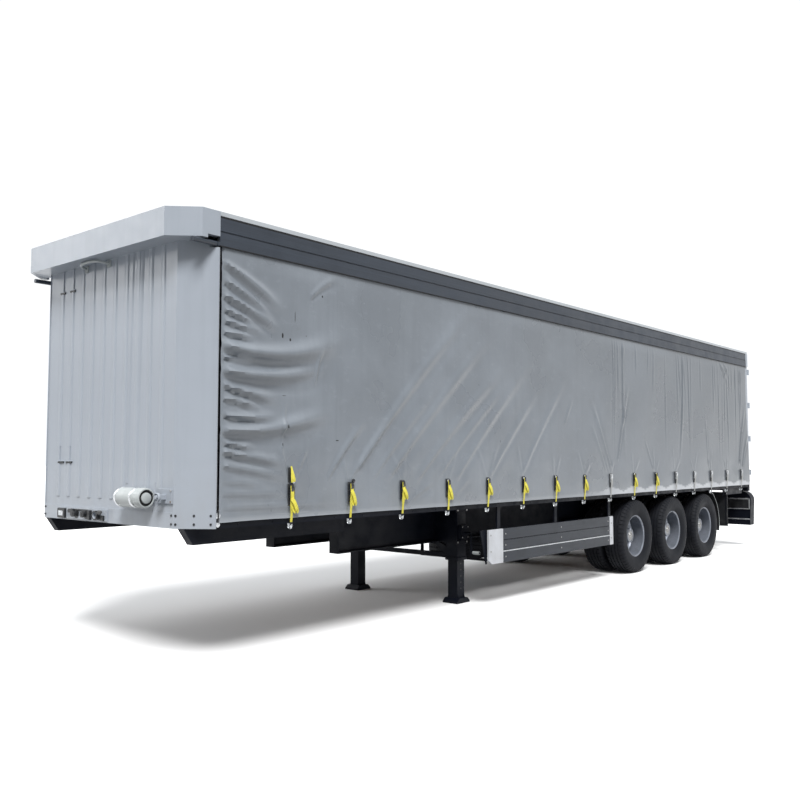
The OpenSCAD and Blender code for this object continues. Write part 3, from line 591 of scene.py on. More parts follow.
FAN_PLEATS = [
    ((1.44, 1.46), (1.95, 2.02), 0.02, 0.045, 0.008), ((1.78, 1.50), (3.72, 3.34), 0.05, 0.080, 0.015),
    ((2.05, 1.46), (3.10, 2.42), 0.03, 0.055, 0.009), ((2.26, 1.46), (4.15, 3.12), 0.05, 0.085, 0.014),
    ((2.69, 1.43), (4.35, 2.72), 0.05, 0.080, 0.014), ((3.05, 1.46), (4.45, 2.58), 0.04, 0.060, 0.011),
    ((3.34, 1.42), (4.95, 2.85), 0.05, 0.080, 0.012), ((3.95, 1.42), (5.10, 2.52), 0.03, 0.060, 0.010),
    ((4.62, 1.44), (5.75, 2.70), 0.03, 0.060, 0.009), ((2.60, 1.22), (2.98, 1.42), 0.01, 0.035, 0.009),
    ((3.32, 1.24), (3.60, 1.44), 0.01, 0.032, 0.008), ((1.28, 2.28), (1.36, 2.62), 0.02, 0.030, 0.006),
    ((0.90, 1.72), (0.93, 2.14), 0.01, 0.026, 0.006), ((1.20, 3.05), (1.58, 3.30), 0.02, 0.040, 0.006),
]
REAR_PLEATS = [
    ((5.64, 2.05), (5.86, 2.40), 0.01, 0.030, 0.008), ((6.87, 1.50), (6.33, 2.42), 0.00, 0.045, 0.013),
    ((6.72, 1.47), (6.32, 2.10), 0.00, 0.040, 0.010), ((7.08, 1.60), (7.45, 2.70), 0.00, 0.038, 0.010),
    ((8.26, 1.46), (7.96, 1.92), 0.00, 0.030, 0.010), ((7.29, 3.33), (7.28, 3.02), 0.00, 0.030, 0.009),
    ((9.42, 3.33), (9.24, 1.50), 0.03, 0.034, 0.009), ((11.00, 3.33), (11.42, 2.96), 0.00, 0.045, 0.011),
    ((11.20, 3.33), (11.52, 3.05), 0.00, 0.040, 0.009), ((11.90, 1.52), (12.34, 2.66), 0.05, 0.050, 0.012),
    ((12.06, 1.46), (12.42, 2.12), 0.03, 0.045, 0.011), ((10.42, 1.50), (10.30, 2.40), 0.01, 0.030, 0.006),
]
VERTICAL_PLEATS = 30


def pleat(d, z, start, end, bow, width, depth):
    """Height of one pleat: a crest with a shallower hollow beside it, along a bowed line from start to end.

    It widens from its start to its end and dies away over the line's last half.
    """
    (d0, z0), (d1, z1) = start, end
    length = math.hypot(d1 - d0, z1 - z0)
    along_d, along_z = (d1 - d0) / length, (z1 - z0) / length
    t = ((d - d0) * along_d + (z - z0) * along_z) / length
    s = (z - z0) * along_d - (d - d0) * along_z - 4 * bow * t * (1 - t)
    w = width * (0.34 + 0.66 * np.clip(t, 0, 1))
    crest = np.exp(-(s / w) ** 2) - 0.55 * np.exp(-((s + 1.55 * w) / (1.05 * w)) ** 2)
    fade = smooth_step(t, -0.03, 0.05) * (1 - smooth_step(t, 0.55, 1.02))
    return depth * fade * crest


def all_pleats(seed):
    """Every pleat of one curtain: the chosen ones, upright ones at the rear, and two above each strap."""
    draw = np.random.default_rng(seed)
    shift = 0.0 if seed == 0 else 1.0
    pleats = []
    for (d0, z0), (d1, z1), bow, width, depth in POLE_PLEATS + FAN_PLEATS + REAR_PLEATS:
        nudge = draw.normal(0, 0.05, 2) * shift
        start = (d0, z0 + 0.5 * nudge[0]) if d0 < 0.27 else (d0 + nudge[1], z0)
        pleats.append((start, (d1 + nudge[1], z1 + nudge[0]), bow, width, depth))
    for d in np.sort(draw.uniform(6.9, 12.2, VERTICAL_PLEATS)):
        drop = draw.uniform(0.5, 1.9)
        pleats.append(((d, 3.36), (d + draw.normal(0, 0.05), 3.36 - drop), 0.0,
                       draw.uniform(0.022, 0.036), draw.uniform(0.0025, 0.0055)))
    for x in STRAP_X:
        d = WALL_X - x
        for way in (-1, 1):
            rise, reach = draw.uniform(0.16, 0.42), draw.uniform(0.04, 0.22)
            pleats.append(((d + 0.02 * way, 1.41), (d + way * reach, 1.42 + rise), 0.0,
                           draw.uniform(0.020, 0.032), draw.uniform(0.003, 0.006)))
    return pleats


def curtain_points(seed, depth_scale):
    """One curtain as a grid: columns along the trailer, rows from the track down to the hem and up inside it.

    Its distance from the trailer's middle is a flat sheet, plus slow billows, plus the pleats, drawn in
    at the track and at every strap. The pleats are deepest above the straps near the front pole. The last
    rows turn under and up behind to make the hem.
    """
    front = WALL_X - CLOTH_HIGH.x
    back = WALL_X - CLOTH_LOW.x
    d = np.concatenate([np.linspace(front - 0.006, 1.9, 175, endpoint=False),
                        np.linspace(1.9, 6.9, 225, endpoint=False), np.linspace(6.9, back, 290)])
    fall = np.linspace(0, 1, 101)
    d, fall = np.meshgrid(d, fall, indexing="ij")
    bottom = CLOTH_LOW.z + 0.002
    top = CLOTH_HIGH.z + 0.024 * (1 - smooth_step(d, back - 0.16, back - 0.10)) - 0.002
    z = top + (bottom - top) * fall
    lean = ((CLOTH_HIGH.z - z) / (CLOTH_HIGH.z - CLOTH_LOW.z)) ** 2
    d = d - 0.085 * smooth_step(d, back - 1.5, back) * (1 - lean)
    relief = sum(pleat(d, z, *p) for p in all_pleats(seed))
    billow = (0.0035 * np.sin(1.9 * d + 1.3 * np.sin(1.1 * z + seed))
              + 0.0025 * np.sin(0.83 * d + 2.4 * z + 2 * seed) + 0.0020 * np.sin(5.1 * d - 3.3 * z))
    from_strap = np.abs(((d - (WALL_X - STRAP_X[0])) / (STRAP_X[0] - STRAP_X[1]) + 0.5) % 1 - 0.5)
    loose = smooth_step(from_strap, 0.03, 0.30) * (1 - smooth_step(z, 1.18, 1.55))
    hang = smooth_step(CLOTH_HIGH.z - z, -0.015, 0.16)
    relief *= 1 + 0.95 * (1 - smooth_step(d, 1.7, 2.8)) * smooth_step(z, 1.42, 1.70)
    y = CLOTH_LOW.y + 0.0030 + hang * (0.0062 + depth_scale * (relief + billow)) + 0.0055 * loose
    y += 0.0012 * np.exp(-((z - 1.455) / 0.004) ** 2) * (d < 1.8)
    y += 0.0010 * np.exp(-((d - 1.555) / 0.006) ** 2)
    y = np.maximum(y, CLOTH_LOW.y - 0.0012)
    y -= 0.010 * (1 - smooth_step(d, front - 0.006, front + 0.010))
    scallop = 0.030 + 0.055 * np.abs(np.sin(math.pi * (from_strap + 0.5))) * smooth_step(d, 6.0, 6.9)
    light = 0.22 + 0.63 * smooth_step(d, 6.1, 7.3)
    hem = light * (1 - smooth_step(z - bottom, scallop, scallop + 0.018))
    lie = np.stack([d, z, hem], -1)
    points = np.stack([WALL_X - d, y, z + 0.003 * loose * (1 - smooth_step(z, bottom, bottom + 0.03))], -1)
    turn = [(0.0008, -0.0012), (-0.0022, -0.0016), (-0.0036, 0.002), (-0.0034, 0.042)]
    under = np.stack([points[:, -1] + np.array([0, out, up]) for out, up in turn], 1)
    under_lie = np.repeat(lie[:, -1:], len(turn), 1)
    return np.concatenate([points, under], 1), np.concatenate([lie, under_lie], 1)


# A mark is its place (metres behind the front wall, metres above the ground), and half its length and height
MARKS = [(0.88, 2.68, 0.010, 0.024), (0.965, 2.65, 0.009, 0.016), (1.35, 3.08, 0.008, 0.011),
         (0.94, 1.91, 0.007, 0.016), (0.90, 1.75, 0.005, 0.022), (1.555, 1.80, 0.020, 0.004),
         (1.02, 2.86, 0.003, 0.050), (0.90, 2.17, 0.042, 0.004)]


def make_curtain_marks(points):
    """Small dark scuffs and patches lying on the near curtain."""
    shape = Shape()
    for d, z, half_d, half_z in MARKS:
        spot = np.argmin((WALL_X - points[..., 0] - d) ** 2 + (points[..., 2] - z) ** 2)
        y = points.reshape(-1, 3)[spot, 1]
        profile = [(0, -0.0005), (1.0, -0.0005), (0.9, 0.0006), (0.5, 0.0010), (0, 0.0012)]
        dome = turned(profile, (0, 0, 0), "y", 12)
        shape.add(dome * np.array([half_d, 1, half_z]) + np.array([WALL_X - d, y, z]))
    shape.build("curtain_marks", [FINISH["rubber"]], "curtain_cloth")


def make_curtains(context):
    """Both curtains, each a single draped grid standing for its plain slab."""
    settings = context.scene.trailer_curtain
    for side_name, side in SIDES:
        points, lie = curtain_points(0 if side == 1 else 5, settings.fold_depth)
        if side == 1:
            make_curtain_marks(points)
        shape = Shape().add(mirrored(points, side)[::side], close_columns=False, lie=lie[::side])
        name, cloth = "curtain_cloth_" + side_name, [FINISH["curtain_cloth"]]
        piece = shape.build(name, cloth, "curtain_cloth", sheet=True, crease=60)
        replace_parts(piece, "curtain_" + side_name)


# ---------------------------------------------------------------- straps

PALE_STRAPS = 5
STRAP_TOP = 1.430


def strap_pieces(web, metal, hooks, x, top, side, draw, pale, low=0.0):
    """One tensioner: a dark backing patch, an over-centre buckle, webbing with its folded tail, and a hook.

    The metal's finishes are gloss black, dull black and zinc; low drops the folded tail further down.
    """
    face = CLOTH_HIGH.y + 0.004
    foot = RAVE_LOW.z
    end = x + draw.normal(0, 0.004)
    main = curve([(x, face + 0.016, top - 0.02), (x, face + 0.019, top - 0.10),
                  (0.4 * x + 0.6 * end, face + 0.010, top - 0.20), (end, face + 0.004, foot + 0.07),
                  (end, face - 0.002, foot + 0.004)], 22)
    section = strip(0.040, 0.0032)
    narrow = 1 - 0.34 * smooth_step(-main[:, 2], -(top - 0.19), -(top - 0.25))
    web.add(mirrored(swept(main, section, scale=narrow), side), lie=lie_along(main, section))
    if not pale:
        out, drop, start = 0.050 + draw.normal(0, 0.007), 0.105 + draw.normal(0, 0.012), top - 0.085 - low
        flap = strip(0.040, 0.003)
        for path in ([(x + 0.006, face + 0.021, start), (x - 0.35 * out, face + 0.027, start - 0.35 * drop),
                      (x - 0.80 * out, face + 0.027, start - 0.80 * drop),
                      (x - out, face + 0.022, start - drop),
                      (x - 0.86 * out, face + 0.017, start - 1.06 * drop)],
                     [(x - 0.86 * out, face + 0.015, start - 1.06 * drop),
                      (x - 0.45 * out, face + 0.013, start - 0.92 * drop),
                      (x + 0.004, face + 0.013, start - 0.48 * drop)]):
            path = curve(path, 16)
            web.add(mirrored(swept(path, flap), side), lie=lie_along(path, flap))
    # Painted shadow: the dark sheet stands out past the webbing's forward edge to draw the shadow beside the
    # strap.
    shadow_sheet = slab((x - 0.026, face - 0.004, top - 0.190), (x + 0.037, face + 0.002, top - 0.004), 0.0015)
    metal.add(mirrored(shadow_sheet, side), finish=1)
    for edge in (-0.0255, 0.0255):
        cheek = curve([(x + edge, face + 0.006, top - 0.125), (x + edge, face + 0.012, top - 0.085),
                       (x + edge, face + 0.008, top - 0.035)], 9)
        metal.add(mirrored(swept(cheek, strip(0.014, 0.003), out=(1, 0, 0)), side), finish=2 if pale else 0)
    for z, away, radius in ((top - 0.118, 0.008, 0.0035), (top - 0.082, 0.013, 0.0045),
                            (top - 0.042, 0.009, 0.0035)):
        bar = rod((x - 0.029, face + away, z), (x + 0.029, face + away, z), radius)
        metal.add(mirrored(bar, side), finish=2 if pale else 0)
    lever = curve([(x, face + 0.014, top - 0.083), (x, face + 0.0215, top - 0.060),
                   (x, face + 0.0225, top - 0.035), (x, face + 0.019, top - 0.014)], 10)
    metal.add(mirrored(swept(lever, strip(0.047 if pale else 0.030, 0.003)), side), finish=2 if pale else 0)
    ring = curve([(end - 0.014, face - 0.001, foot + 0.008), (end - 0.010, face, foot - 0.010),
                  (end, face, foot - 0.013), (end + 0.010, face, foot - 0.010),
                  (end + 0.014, face - 0.001, foot + 0.008)], 14)
    hooks.add(mirrored(swept(ring, circle(0.0034, 8)), side), finish=1)
    eye = rod((end - 0.016, face - 0.001, foot + 0.006), (end + 0.016, face - 0.001, foot + 0.006), 0.0038)
    hooks.add(mirrored(eye, side), finish=1)
    claw = curve([(end, face - 0.001, foot - 0.008), (end, face - 0.002, foot - 0.026),
                  (end, face - 0.012, foot - 0.041), (end, face - 0.030, foot - 0.036),
                  (end, face - 0.034, foot - 0.014), (end, face - 0.034, foot - 0.003)], 22)
    hooks.add(mirrored(swept(claw, strip(0.005, 0.016), out=(0, 1, 0)), side))


def stud(metal, x, z, radius, side, finish):
    """A domed stud on the curtain."""
    face = CLOTH_HIGH.y + 0.001
    dome = [(0, 0), (radius, 0), (radius, 0.006), (0.86 * radius, 0.012), (0.5 * radius, 0.016), (0, 0.0175)]
    metal.add(mirrored(turned(dome, (x, face, z), "y", 14), side), finish=finish)


def first_tail(web, metal, side):
    """The first strap's spare webbing, folded over a dark patch and tucked upwards to a point."""
    x, face = STRAP_X[0], CLOTH_HIGH.y + 0.004
    top = STRAPS_HIGH.z
    path = curve([(x - 0.010, face + 0.018, top - 0.136), (x - 0.004, face + 0.020, top - 0.10),
                  (x + 0.004, face + 0.016, top - 0.04), (x + 0.008, face + 0.010, top - 0.002)], 16)
    section = strip(0.050, 0.009)
    taper = 1 - 0.66 * smooth_step(path[:, 2], top - 0.12, top)
    web.add(mirrored(swept(path, section, scale=taper), side), lie=lie_along(path, section))
    # Painted shadow: a dark sheet standing out past the tail's forward edge draws the shadow beside it.
    shadow_sheet = slab((x - 0.004, face - 0.004, top - 0.140), (x + 0.034, face + 0.003, top - 0.012), 0.0015)
    metal.add(mirrored(shadow_sheet, side), finish=1)


def make_straps(context):
    """All the curtain straps, as yellow webbing, pale webbing at the rear, buckles and hooks."""
    web, pale_web, metal, hooks = Shape(), Shape(), Shape(), Shape()
    top = STRAP_TOP
    for _, side in SIDES:
        draw = np.random.default_rng(40 + side)
        for i, x in enumerate(STRAP_X):
            pale = i >= STRAP_COUNT - PALE_STRAPS or i == 8
            low = 0.045 if i == 0 else 0.0
            strap_pieces(pale_web if pale else web, metal, hooks, x, top, side, draw, pale, low)
            if i > 2:
                stud(metal, x, top - 0.030, 0.017, side, 2)
        first_tail(web, metal, side)
        stud(metal, STRAP_X[0] - 0.022, top + 0.008, 0.013, side, 2)
        stud(metal, STRAP_X[1] - 0.034, top + 0.004, 0.019, side, 0)
        stud(metal, STRAP_X[1] - 0.034, top + 0.004, 0.011, side, 2)
    webbing = web.build("strap_webbing", [FINISH["strap_webbing"]], "strap_webbing")
    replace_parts(webbing, "curtain_straps")
    pale_web.build("strap_webbing_rear", [FINISH["spare_webbing"]], "strap_webbing")
    metal.build("strap_buckles", [FINISH["pole_paint"], FINISH["black_plastic"], FINISH["galvanised"]],
                "bare_steel")
    hooks.build("strap_hooks", [FINISH["galvanised"], FINISH["black_plastic"]], "galvanised")


# ---------------------------------------------------------------- wheels

WHEELS = [(i, side_name, side) for i in (1, 2, 3) for side_name, side in SIDES]
TYRE_BEAD = 0.2875
SHOULDER_HEIGHT = 0.118
SQUARENESS = 4.6
GROOVES = (0.027, 0.074)


def tyre_grid(centre, radius, half, settings):
    """One tyre: a squared-off oval section carried round the axle, cut by zigzag grooves and shoulder slots.

    Outside its widest line the section is |y/half|^4.6 + |h/rise|^4.6 = 1; below it the sidewall draws
    in to the bead along a cosine, and the inner face closes the ring.
    """
    rise, wide, bead = SHOULDER_HEIGHT, radius - SHOULDER_HEIGHT, TYRE_BEAD
    blocks, tread = settings.blocks, settings.tread
    crown = [0.0]
    for groove in GROOVES:
        crown += [groove - 0.0075, groove - 0.0050, groove + 0.0050, groove + 0.0075]
    crown = np.array(crown + [0.094, 0.104, 0.114, 0.124])
    crown_h = rise * (1 - np.minimum(crown / half, 0.999) ** SQUARENESS) ** (1 / SQUARENESS)
    shoulder = np.linspace(0.93, 0.0, 9)[1:]
    shoulder_y = half * (1 - shoulder ** SQUARENESS) ** (1 / SQUARENESS)
    shoulder_h = rise * shoulder
    keep = shoulder_y > crown[-1] + 0.002
    down = np.linspace(0, 1, 8)[1:]
    wall_y = 0.104 + (half - 0.104) * np.cos(down * math.pi / 2) ** 0.8
    wall_h = -(wide - bead) * down
    y = np.concatenate([crown, shoulder_y[keep], wall_y, [0.088, 0.100, 0.112, 0.08]])
    inside_h = [bead - wide, bead + 0.020 - wide, -0.02, rise - 0.035]
    h = np.concatenate([crown_h, shoulder_h[keep], wall_h, inside_h])
    y = np.concatenate([y, -y[::-1][:-1]])
    h = np.concatenate([h, h[::-1][:-1]])
    per_block = np.array([0.0, 0.15, 0.20, 0.60, 0.95])
    angle = ((np.arange(blocks)[:, None] + per_block[None, :]) / blocks).ravel() * 2 * math.pi
    in_slot = np.tile(per_block < 0.16, blocks)
    zigzag = 0.0035 * np.tile([-1.0, -0.7, -0.4, 1.0, -0.7], blocks)
    depth = np.zeros((len(angle), len(y)))
    width = np.abs(y)
    floor = (np.abs(width - GROOVES[0]) < 0.0055) | (np.abs(width - GROOVES[1]) < 0.0055)
    depth[:, floor] = tread
    slot = (width > 0.093) & (h > rise * 0.55)
    depth[np.ix_(in_slot, slot)] = 0.8 * tread
    r = wide + h[None, :] - depth
    on_tread = (width < 0.085) & (h > 0.5 * rise)
    across = np.broadcast_to(y[None, :], r.shape) + zigzag[:, None] * on_tread[None, :]
    x = r * np.cos(angle)[:, None]
    z = r * np.sin(angle)[:, None]
    return np.stack([x, across, z], -1) + np.array(centre)


def make_tyres(context):
    """Each wheel's twin tyres, standing for its plain CAD tyres."""
    settings = context.scene.trailer_tyres
    for i, side_name, _ in WHEELS:
        node = f"tyres_{i}_{side_name}"
        low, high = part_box(node)
        radius = (high.z - low.z) / 2 - 0.0005
        centre_x, centre_z = (low.x + high.x) / 2, (low.z + high.z) / 2
        half = 0.146
        shape = Shape()
        for y in (low.y + half, high.y - half):
            shape.add(tyre_grid((centre_x, y, centre_z), radius, half - 0.001, settings), close_rows=True)
        name, wheel = f"tyre_pair_{i}_{side_name}", f"wheel_{i}_{side_name}"
        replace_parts(shape.build(name, [FINISH["tyre"]], "tyre", wheel, crease=38), node)


NUTS, NUT_CIRCLE = 10, 0.1675
CAP_BOLTS, CAP_CIRCLE = 6, 0.082
NUT = [(0, 0), (0.023, 0), (0.023, 0.003), (0.017, 0.006), (0.0165, 0.026), (0.013, 0.030),
       (0.0105, 0.030), (0.0105, 0.042), (0.008, 0.045), (0, 0.045)]


def make_wheel_fittings(context):
    """Wheel nuts on their studs, hub cap bolts, a hub ring and a valve stem on each outer disc."""
    for i, side_name, side in WHEELS:
        low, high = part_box(f"rims_{i}_{side_name}")
        tyre_low, tyre_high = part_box(f"tyres_{i}_{side_name}")
        x, z = (low.x + high.x) / 2, (low.z + high.z) / 2
        disc = abs(tyre_low.y + tyre_high.y) / 2 + 0.014
        cap = disc + 0.186
        shape = Shape()
        for a in 2 * math.pi * np.arange(NUTS) / NUTS + 0.2:
            place = (x + NUT_CIRCLE * math.cos(a), disc, z + NUT_CIRCLE * math.sin(a))
            shape.add(mirrored(turned(NUT, place, "y", 12), side))
        for a in 2 * math.pi * np.arange(CAP_BOLTS) / CAP_BOLTS:
            place = (x + CAP_CIRCLE * math.cos(a), cap, z + CAP_CIRCLE * math.sin(a))
            shape.add(mirrored(bolt(place, "y", 0.008, 0.006), side))
        hub = [(0, 0.016), (0.030, 0.016), (0.036, 0.012), (0.040, 0.004), (0.062, 0.003), (0.066, -0.002),
               (0, -0.002)]
        shape.add(mirrored(turned(hub, (x, cap, z), "y", 28), side))
        ring = [(0.117, -0.10), (0.124, -0.10), (0.124, -0.085), (0.117, -0.080)]
        shape.add(mirrored(turned(ring, (x, cap, z), "y", 36), side), close_rows=True)
        stem = curve([(x + 0.262, disc + 0.05, z), (x + 0.254, disc + 0.075, z + 0.002),
                      (x + 0.236, disc + 0.11, z + 0.004)], 8)
        shape.add(mirrored(swept(stem, circle(0.0045, 8)), side), finish=1)
        finishes = [FINISH["bare_steel"], FINISH["black_plastic"]]
        shape.build(f"wheel_nuts_{i}_{side_name}", finishes, "bare_steel", f"wheel_{i}_{side_name}")


# ---------------------------------------------------------------- front end

WALL_HALF = SILL_HIGH.y
RIBS = 10
RIB_HALF = 0.013
RIB_START, RIB_END = 0.232, 0.187
RIB_LOW, RIB_HIGH = 1.301, 3.372


def make_front_wall_fittings(context):
    """What is fixed to the front wall: leaning stiffeners, the ribs' flanks, lift slots and the handle."""
    skin = WALL_X - 0.008
    strips = Shape()
    for y_top, y_low, width in ((0.385, 0.345, 0.030), (0.520, 0.470, 0.050), (0.665, 0.640, 0.036)):
        rows = []
        for z, y in ((HEADER_LOW.z - 0.001, y_top), (1.436, y_low)):
            w, t = width / 2, 0.006
            rows.append([(skin, y - w, z), (skin + t, y - w + 0.004, z), (skin + t, y + w - 0.010, z),
                         (skin, y + w, z)])
        strips.add(capped(np.array(rows)))
    pitch = (2 * WALL_HALF - RIB_START - RIB_END) / (RIBS - 1)
    for k in range(RIBS):
        y = RIB_START - WALL_HALF + k * pitch
        spans = ((RIB_LOW, RIB_HIGH),) if k > 1 else ((RIB_LOW, 1.590), (1.750, 3.150))
        for low_z, high_z in spans:
            for edge, foot in ((y - RIB_HALF, y - RIB_HALF - 0.030), (y + RIB_HALF, y + RIB_HALF + 0.012)):
                wedge = [[(skin, foot, z), (WALL_X - 0.0002, edge, z), (skin, edge, z)]
                         for z in (low_z, high_z)]
                strips.add(capped(np.array(wedge)))
    slots = Shape()
    for y, z, w in ((-0.780, 3.165, 0.042), (-0.605, 3.165, 0.042), (-0.745, 1.604, 0.050),
                    (-0.600, 1.604, 0.050)):
        slots.add(slab((skin - 0.002, y - w, z - 0.008), (WALL_X + 0.0012, y + w, z + 0.008), 0.0018))
        slots.add(slab((skin - 0.002, y - w - 0.006, z + 0.008), (WALL_X + 0.006, y + w + 0.006, z + 0.014),
                       0.0015), finish=1)
    handle = Shape()
    bar = curve([(WALL_X - 0.004, -0.370, 3.338), (WALL_X + 0.045, -0.355, 3.344),
                 (WALL_X + 0.085, -0.300, 3.352), (WALL_X + 0.095, -0.180, 3.356),
                 (WALL_X + 0.085, -0.060, 3.352), (WALL_X + 0.045, -0.015, 3.342),
                 (WALL_X - 0.004, 0.0, 3.336)], 44)
    handle.add(swept(bar, circle(0.013, 12), out=(0, 0, 1)))
    for y in (-0.370, 0.0):
        handle.add(slab((skin, y - 0.030, 3.305), (skin + 0.008, y + 0.030, 3.366), 0.002))
    strips.build("wall_stiffeners", [FINISH["body_paint"]], "body_paint")
    slots.build("wall_slots", [FINISH["black_plastic"], FINISH["body_paint"]], "black_plastic")
    handle.build("header_handle", [FINISH["grey_plastic"]], "grey_plastic")


def make_frame_bolts(context):
    """Bolts through the corner posts' feet and the sill's ends, and the clamps of the curtain poles."""
    shape = Shape()
    post_start = WALL_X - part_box("corner_posts")[0].x
    back, across = post_start - 0.012, CLOTH_HIGH.y - WALL_HALF
    n = np.array([across, back, 0.0]) / math.hypot(across, back)
    for _, side in SIDES:
        for z in (SILL_LOW.z + 0.035, SILL_HIGH.z - 0.022):
            shape.add(mirrored(bolt((WALL_X, WALL_HALF - 0.022, z), "x", 0.0095, 0.006, 12), side))
            for share in (0.06, 0.50, 0.90):
                start = np.array([WALL_X - back * share, WALL_HALF + across * share, z])
                shape.add(mirrored(rod(start - n * 0.002, start + n * 0.006, 0.0095, 12, 0.0015), side))
    for _, side in SIDES:
        x = WALL_X - post_start - 0.019
        for z, size in ((RAVE_HIGH.z + 0.012, 0.024), (RAVE_LOW.z + 0.030, 0.020)):
            clamp = [(0, 0), (size, 0), (size, 0.010), (size * 0.6, 0.014), (0, 0.014)]
            shape.add(mirrored(turned(clamp, (x, 1.262, z), "y", 16), side), finish=1)
        latch = curve([(x - 0.004, 1.268, RAVE_HIGH.z + 0.055), (x, 1.276, RAVE_HIGH.z + 0.010),
                       (x, 1.270, RAVE_LOW.z + 0.040), (x + 0.002, 1.266, RAVE_LOW.z + 0.010)], 12)
        shape.add(mirrored(swept(latch, strip(0.016, 0.006)), side))
    shape.build("frame_bolts", [FINISH["black_plastic"], FINISH["galvanised"]], "bare_steel")


def make_document_holder(context):
    """The document tube: a moulded barrel with a domed end, a screwed lid with a bail, and its carrier."""
    low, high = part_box("document_tube")
    x, z = (low.x + high.x) / 2 + 0.001, (low.z + high.z) / 2
    r = (high.z - low.z) / 2 - 0.003
    y0, y1 = low.y, high.y
    body = [(0, y0), (0.45 * r, y0 + 0.004), (0.75 * r, y0 + 0.018), (0.92 * r, y0 + 0.042),
            (r, y0 + 0.078), (r, y1 - 0.110), (0.93 * r, y1 - 0.104), (0.93 * r, y1 - 0.094),
            (r, y1 - 0.090), (r, y1 - 0.016), (0.96 * r, y1 - 0.008), (0.84 * r, y1 - 0.006),
            (0.82 * r, y1 - 0.020), (0.56 * r, y1 - 0.020), (0.54 * r, y1 - 0.006), (0.30 * r, y1), (0, y1)]
    shape = Shape()
    shape.add(turned(body, (x, 0, z), "y", 48))
    seal = [(0.81 * r, y1 - 0.0195), (0.81 * r, y1 - 0.0150), (0.57 * r, y1 - 0.0150),
            (0.57 * r, y1 - 0.0195)]
    shape.add(turned(seal, (x, 0, z), "y", 48), close_rows=True, finish=2)
    for y in (y0 + 0.062, y1 - 0.140):
        strap = [(r + 0.0005, y), (r + 0.003, y + 0.002), (r + 0.003, y + 0.020), (r + 0.0005, y + 0.022)]
        shape.add(turned(strap, (x, 0, z), "y", 48), close_rows=True, finish=1)
    for a in np.linspace(0, 2 * math.pi, 16, endpoint=False):
        ridge = (x + 0.985 * r * math.sin(a), z + 0.985 * r * math.cos(a))
        shape.add(rod((ridge[0], y1 - 0.084, ridge[1]), (ridge[0], y1 - 0.022, ridge[1]), 0.003, 8, 0.001))
    carrier = Shape()
    for y in (y0 + 0.001, y1 - 0.059):
        carrier.add(slab((WALL_X - 0.008, y, z - 0.020), (x - 0.03, y + 0.040, z + 0.020)))
    carrier.add(slab((WALL_X - 0.008, y1 + 0.030, z - 0.040),
                     (WALL_X + 0.004, WALL_HALF - 0.006, z + 0.075), 0.002))
    for dz in (-0.026, 0.060):
        carrier.add(bolt((WALL_X + 0.004, WALL_HALF - 0.03, z + dz), "x", 0.009, 0.006), finish=1)
    knob_y, knob_x, knob_z = 0.900, WALL_X + 0.060, z + 0.010
    carrier.add(slab((WALL_X + 0.002, knob_y - 0.020, knob_z - 0.020),
                     (knob_x, knob_y + 0.020, knob_z + 0.020)))
    knob = [(0, 0), (0.032, 0), (0.036, 0.004), (0.036, 0.016), (0.030, 0.022), (0.030, 0.012),
            (0.016, 0.012), (0.016, 0.030), (0, 0.032)]
    carrier.add(turned(knob, (knob_x, knob_y, knob_z), "x", 28))
    lever = curve([(knob_x + 0.010, knob_y - 0.020, knob_z + 0.010),
                   (knob_x + 0.012, knob_y - 0.034, knob_z + 0.040),
                   (knob_x + 0.010, knob_y - 0.034, knob_z + 0.080),
                   (knob_x + 0.010, knob_y - 0.034, knob_z + 0.118)], 16)
    carrier.add(swept(lever, strip(0.022, 0.008), out=(1, 0, 0)))
    finishes = [FINISH["grey_plastic"], FINISH["galvanised"], FINISH["rubber"]]
    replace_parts(shape.build("document_holder", finishes, "grey_plastic"), "document_tube")
    carrier.build("document_carrier", [FINISH["body_paint"], FINISH["bare_steel"]], "galvanised")


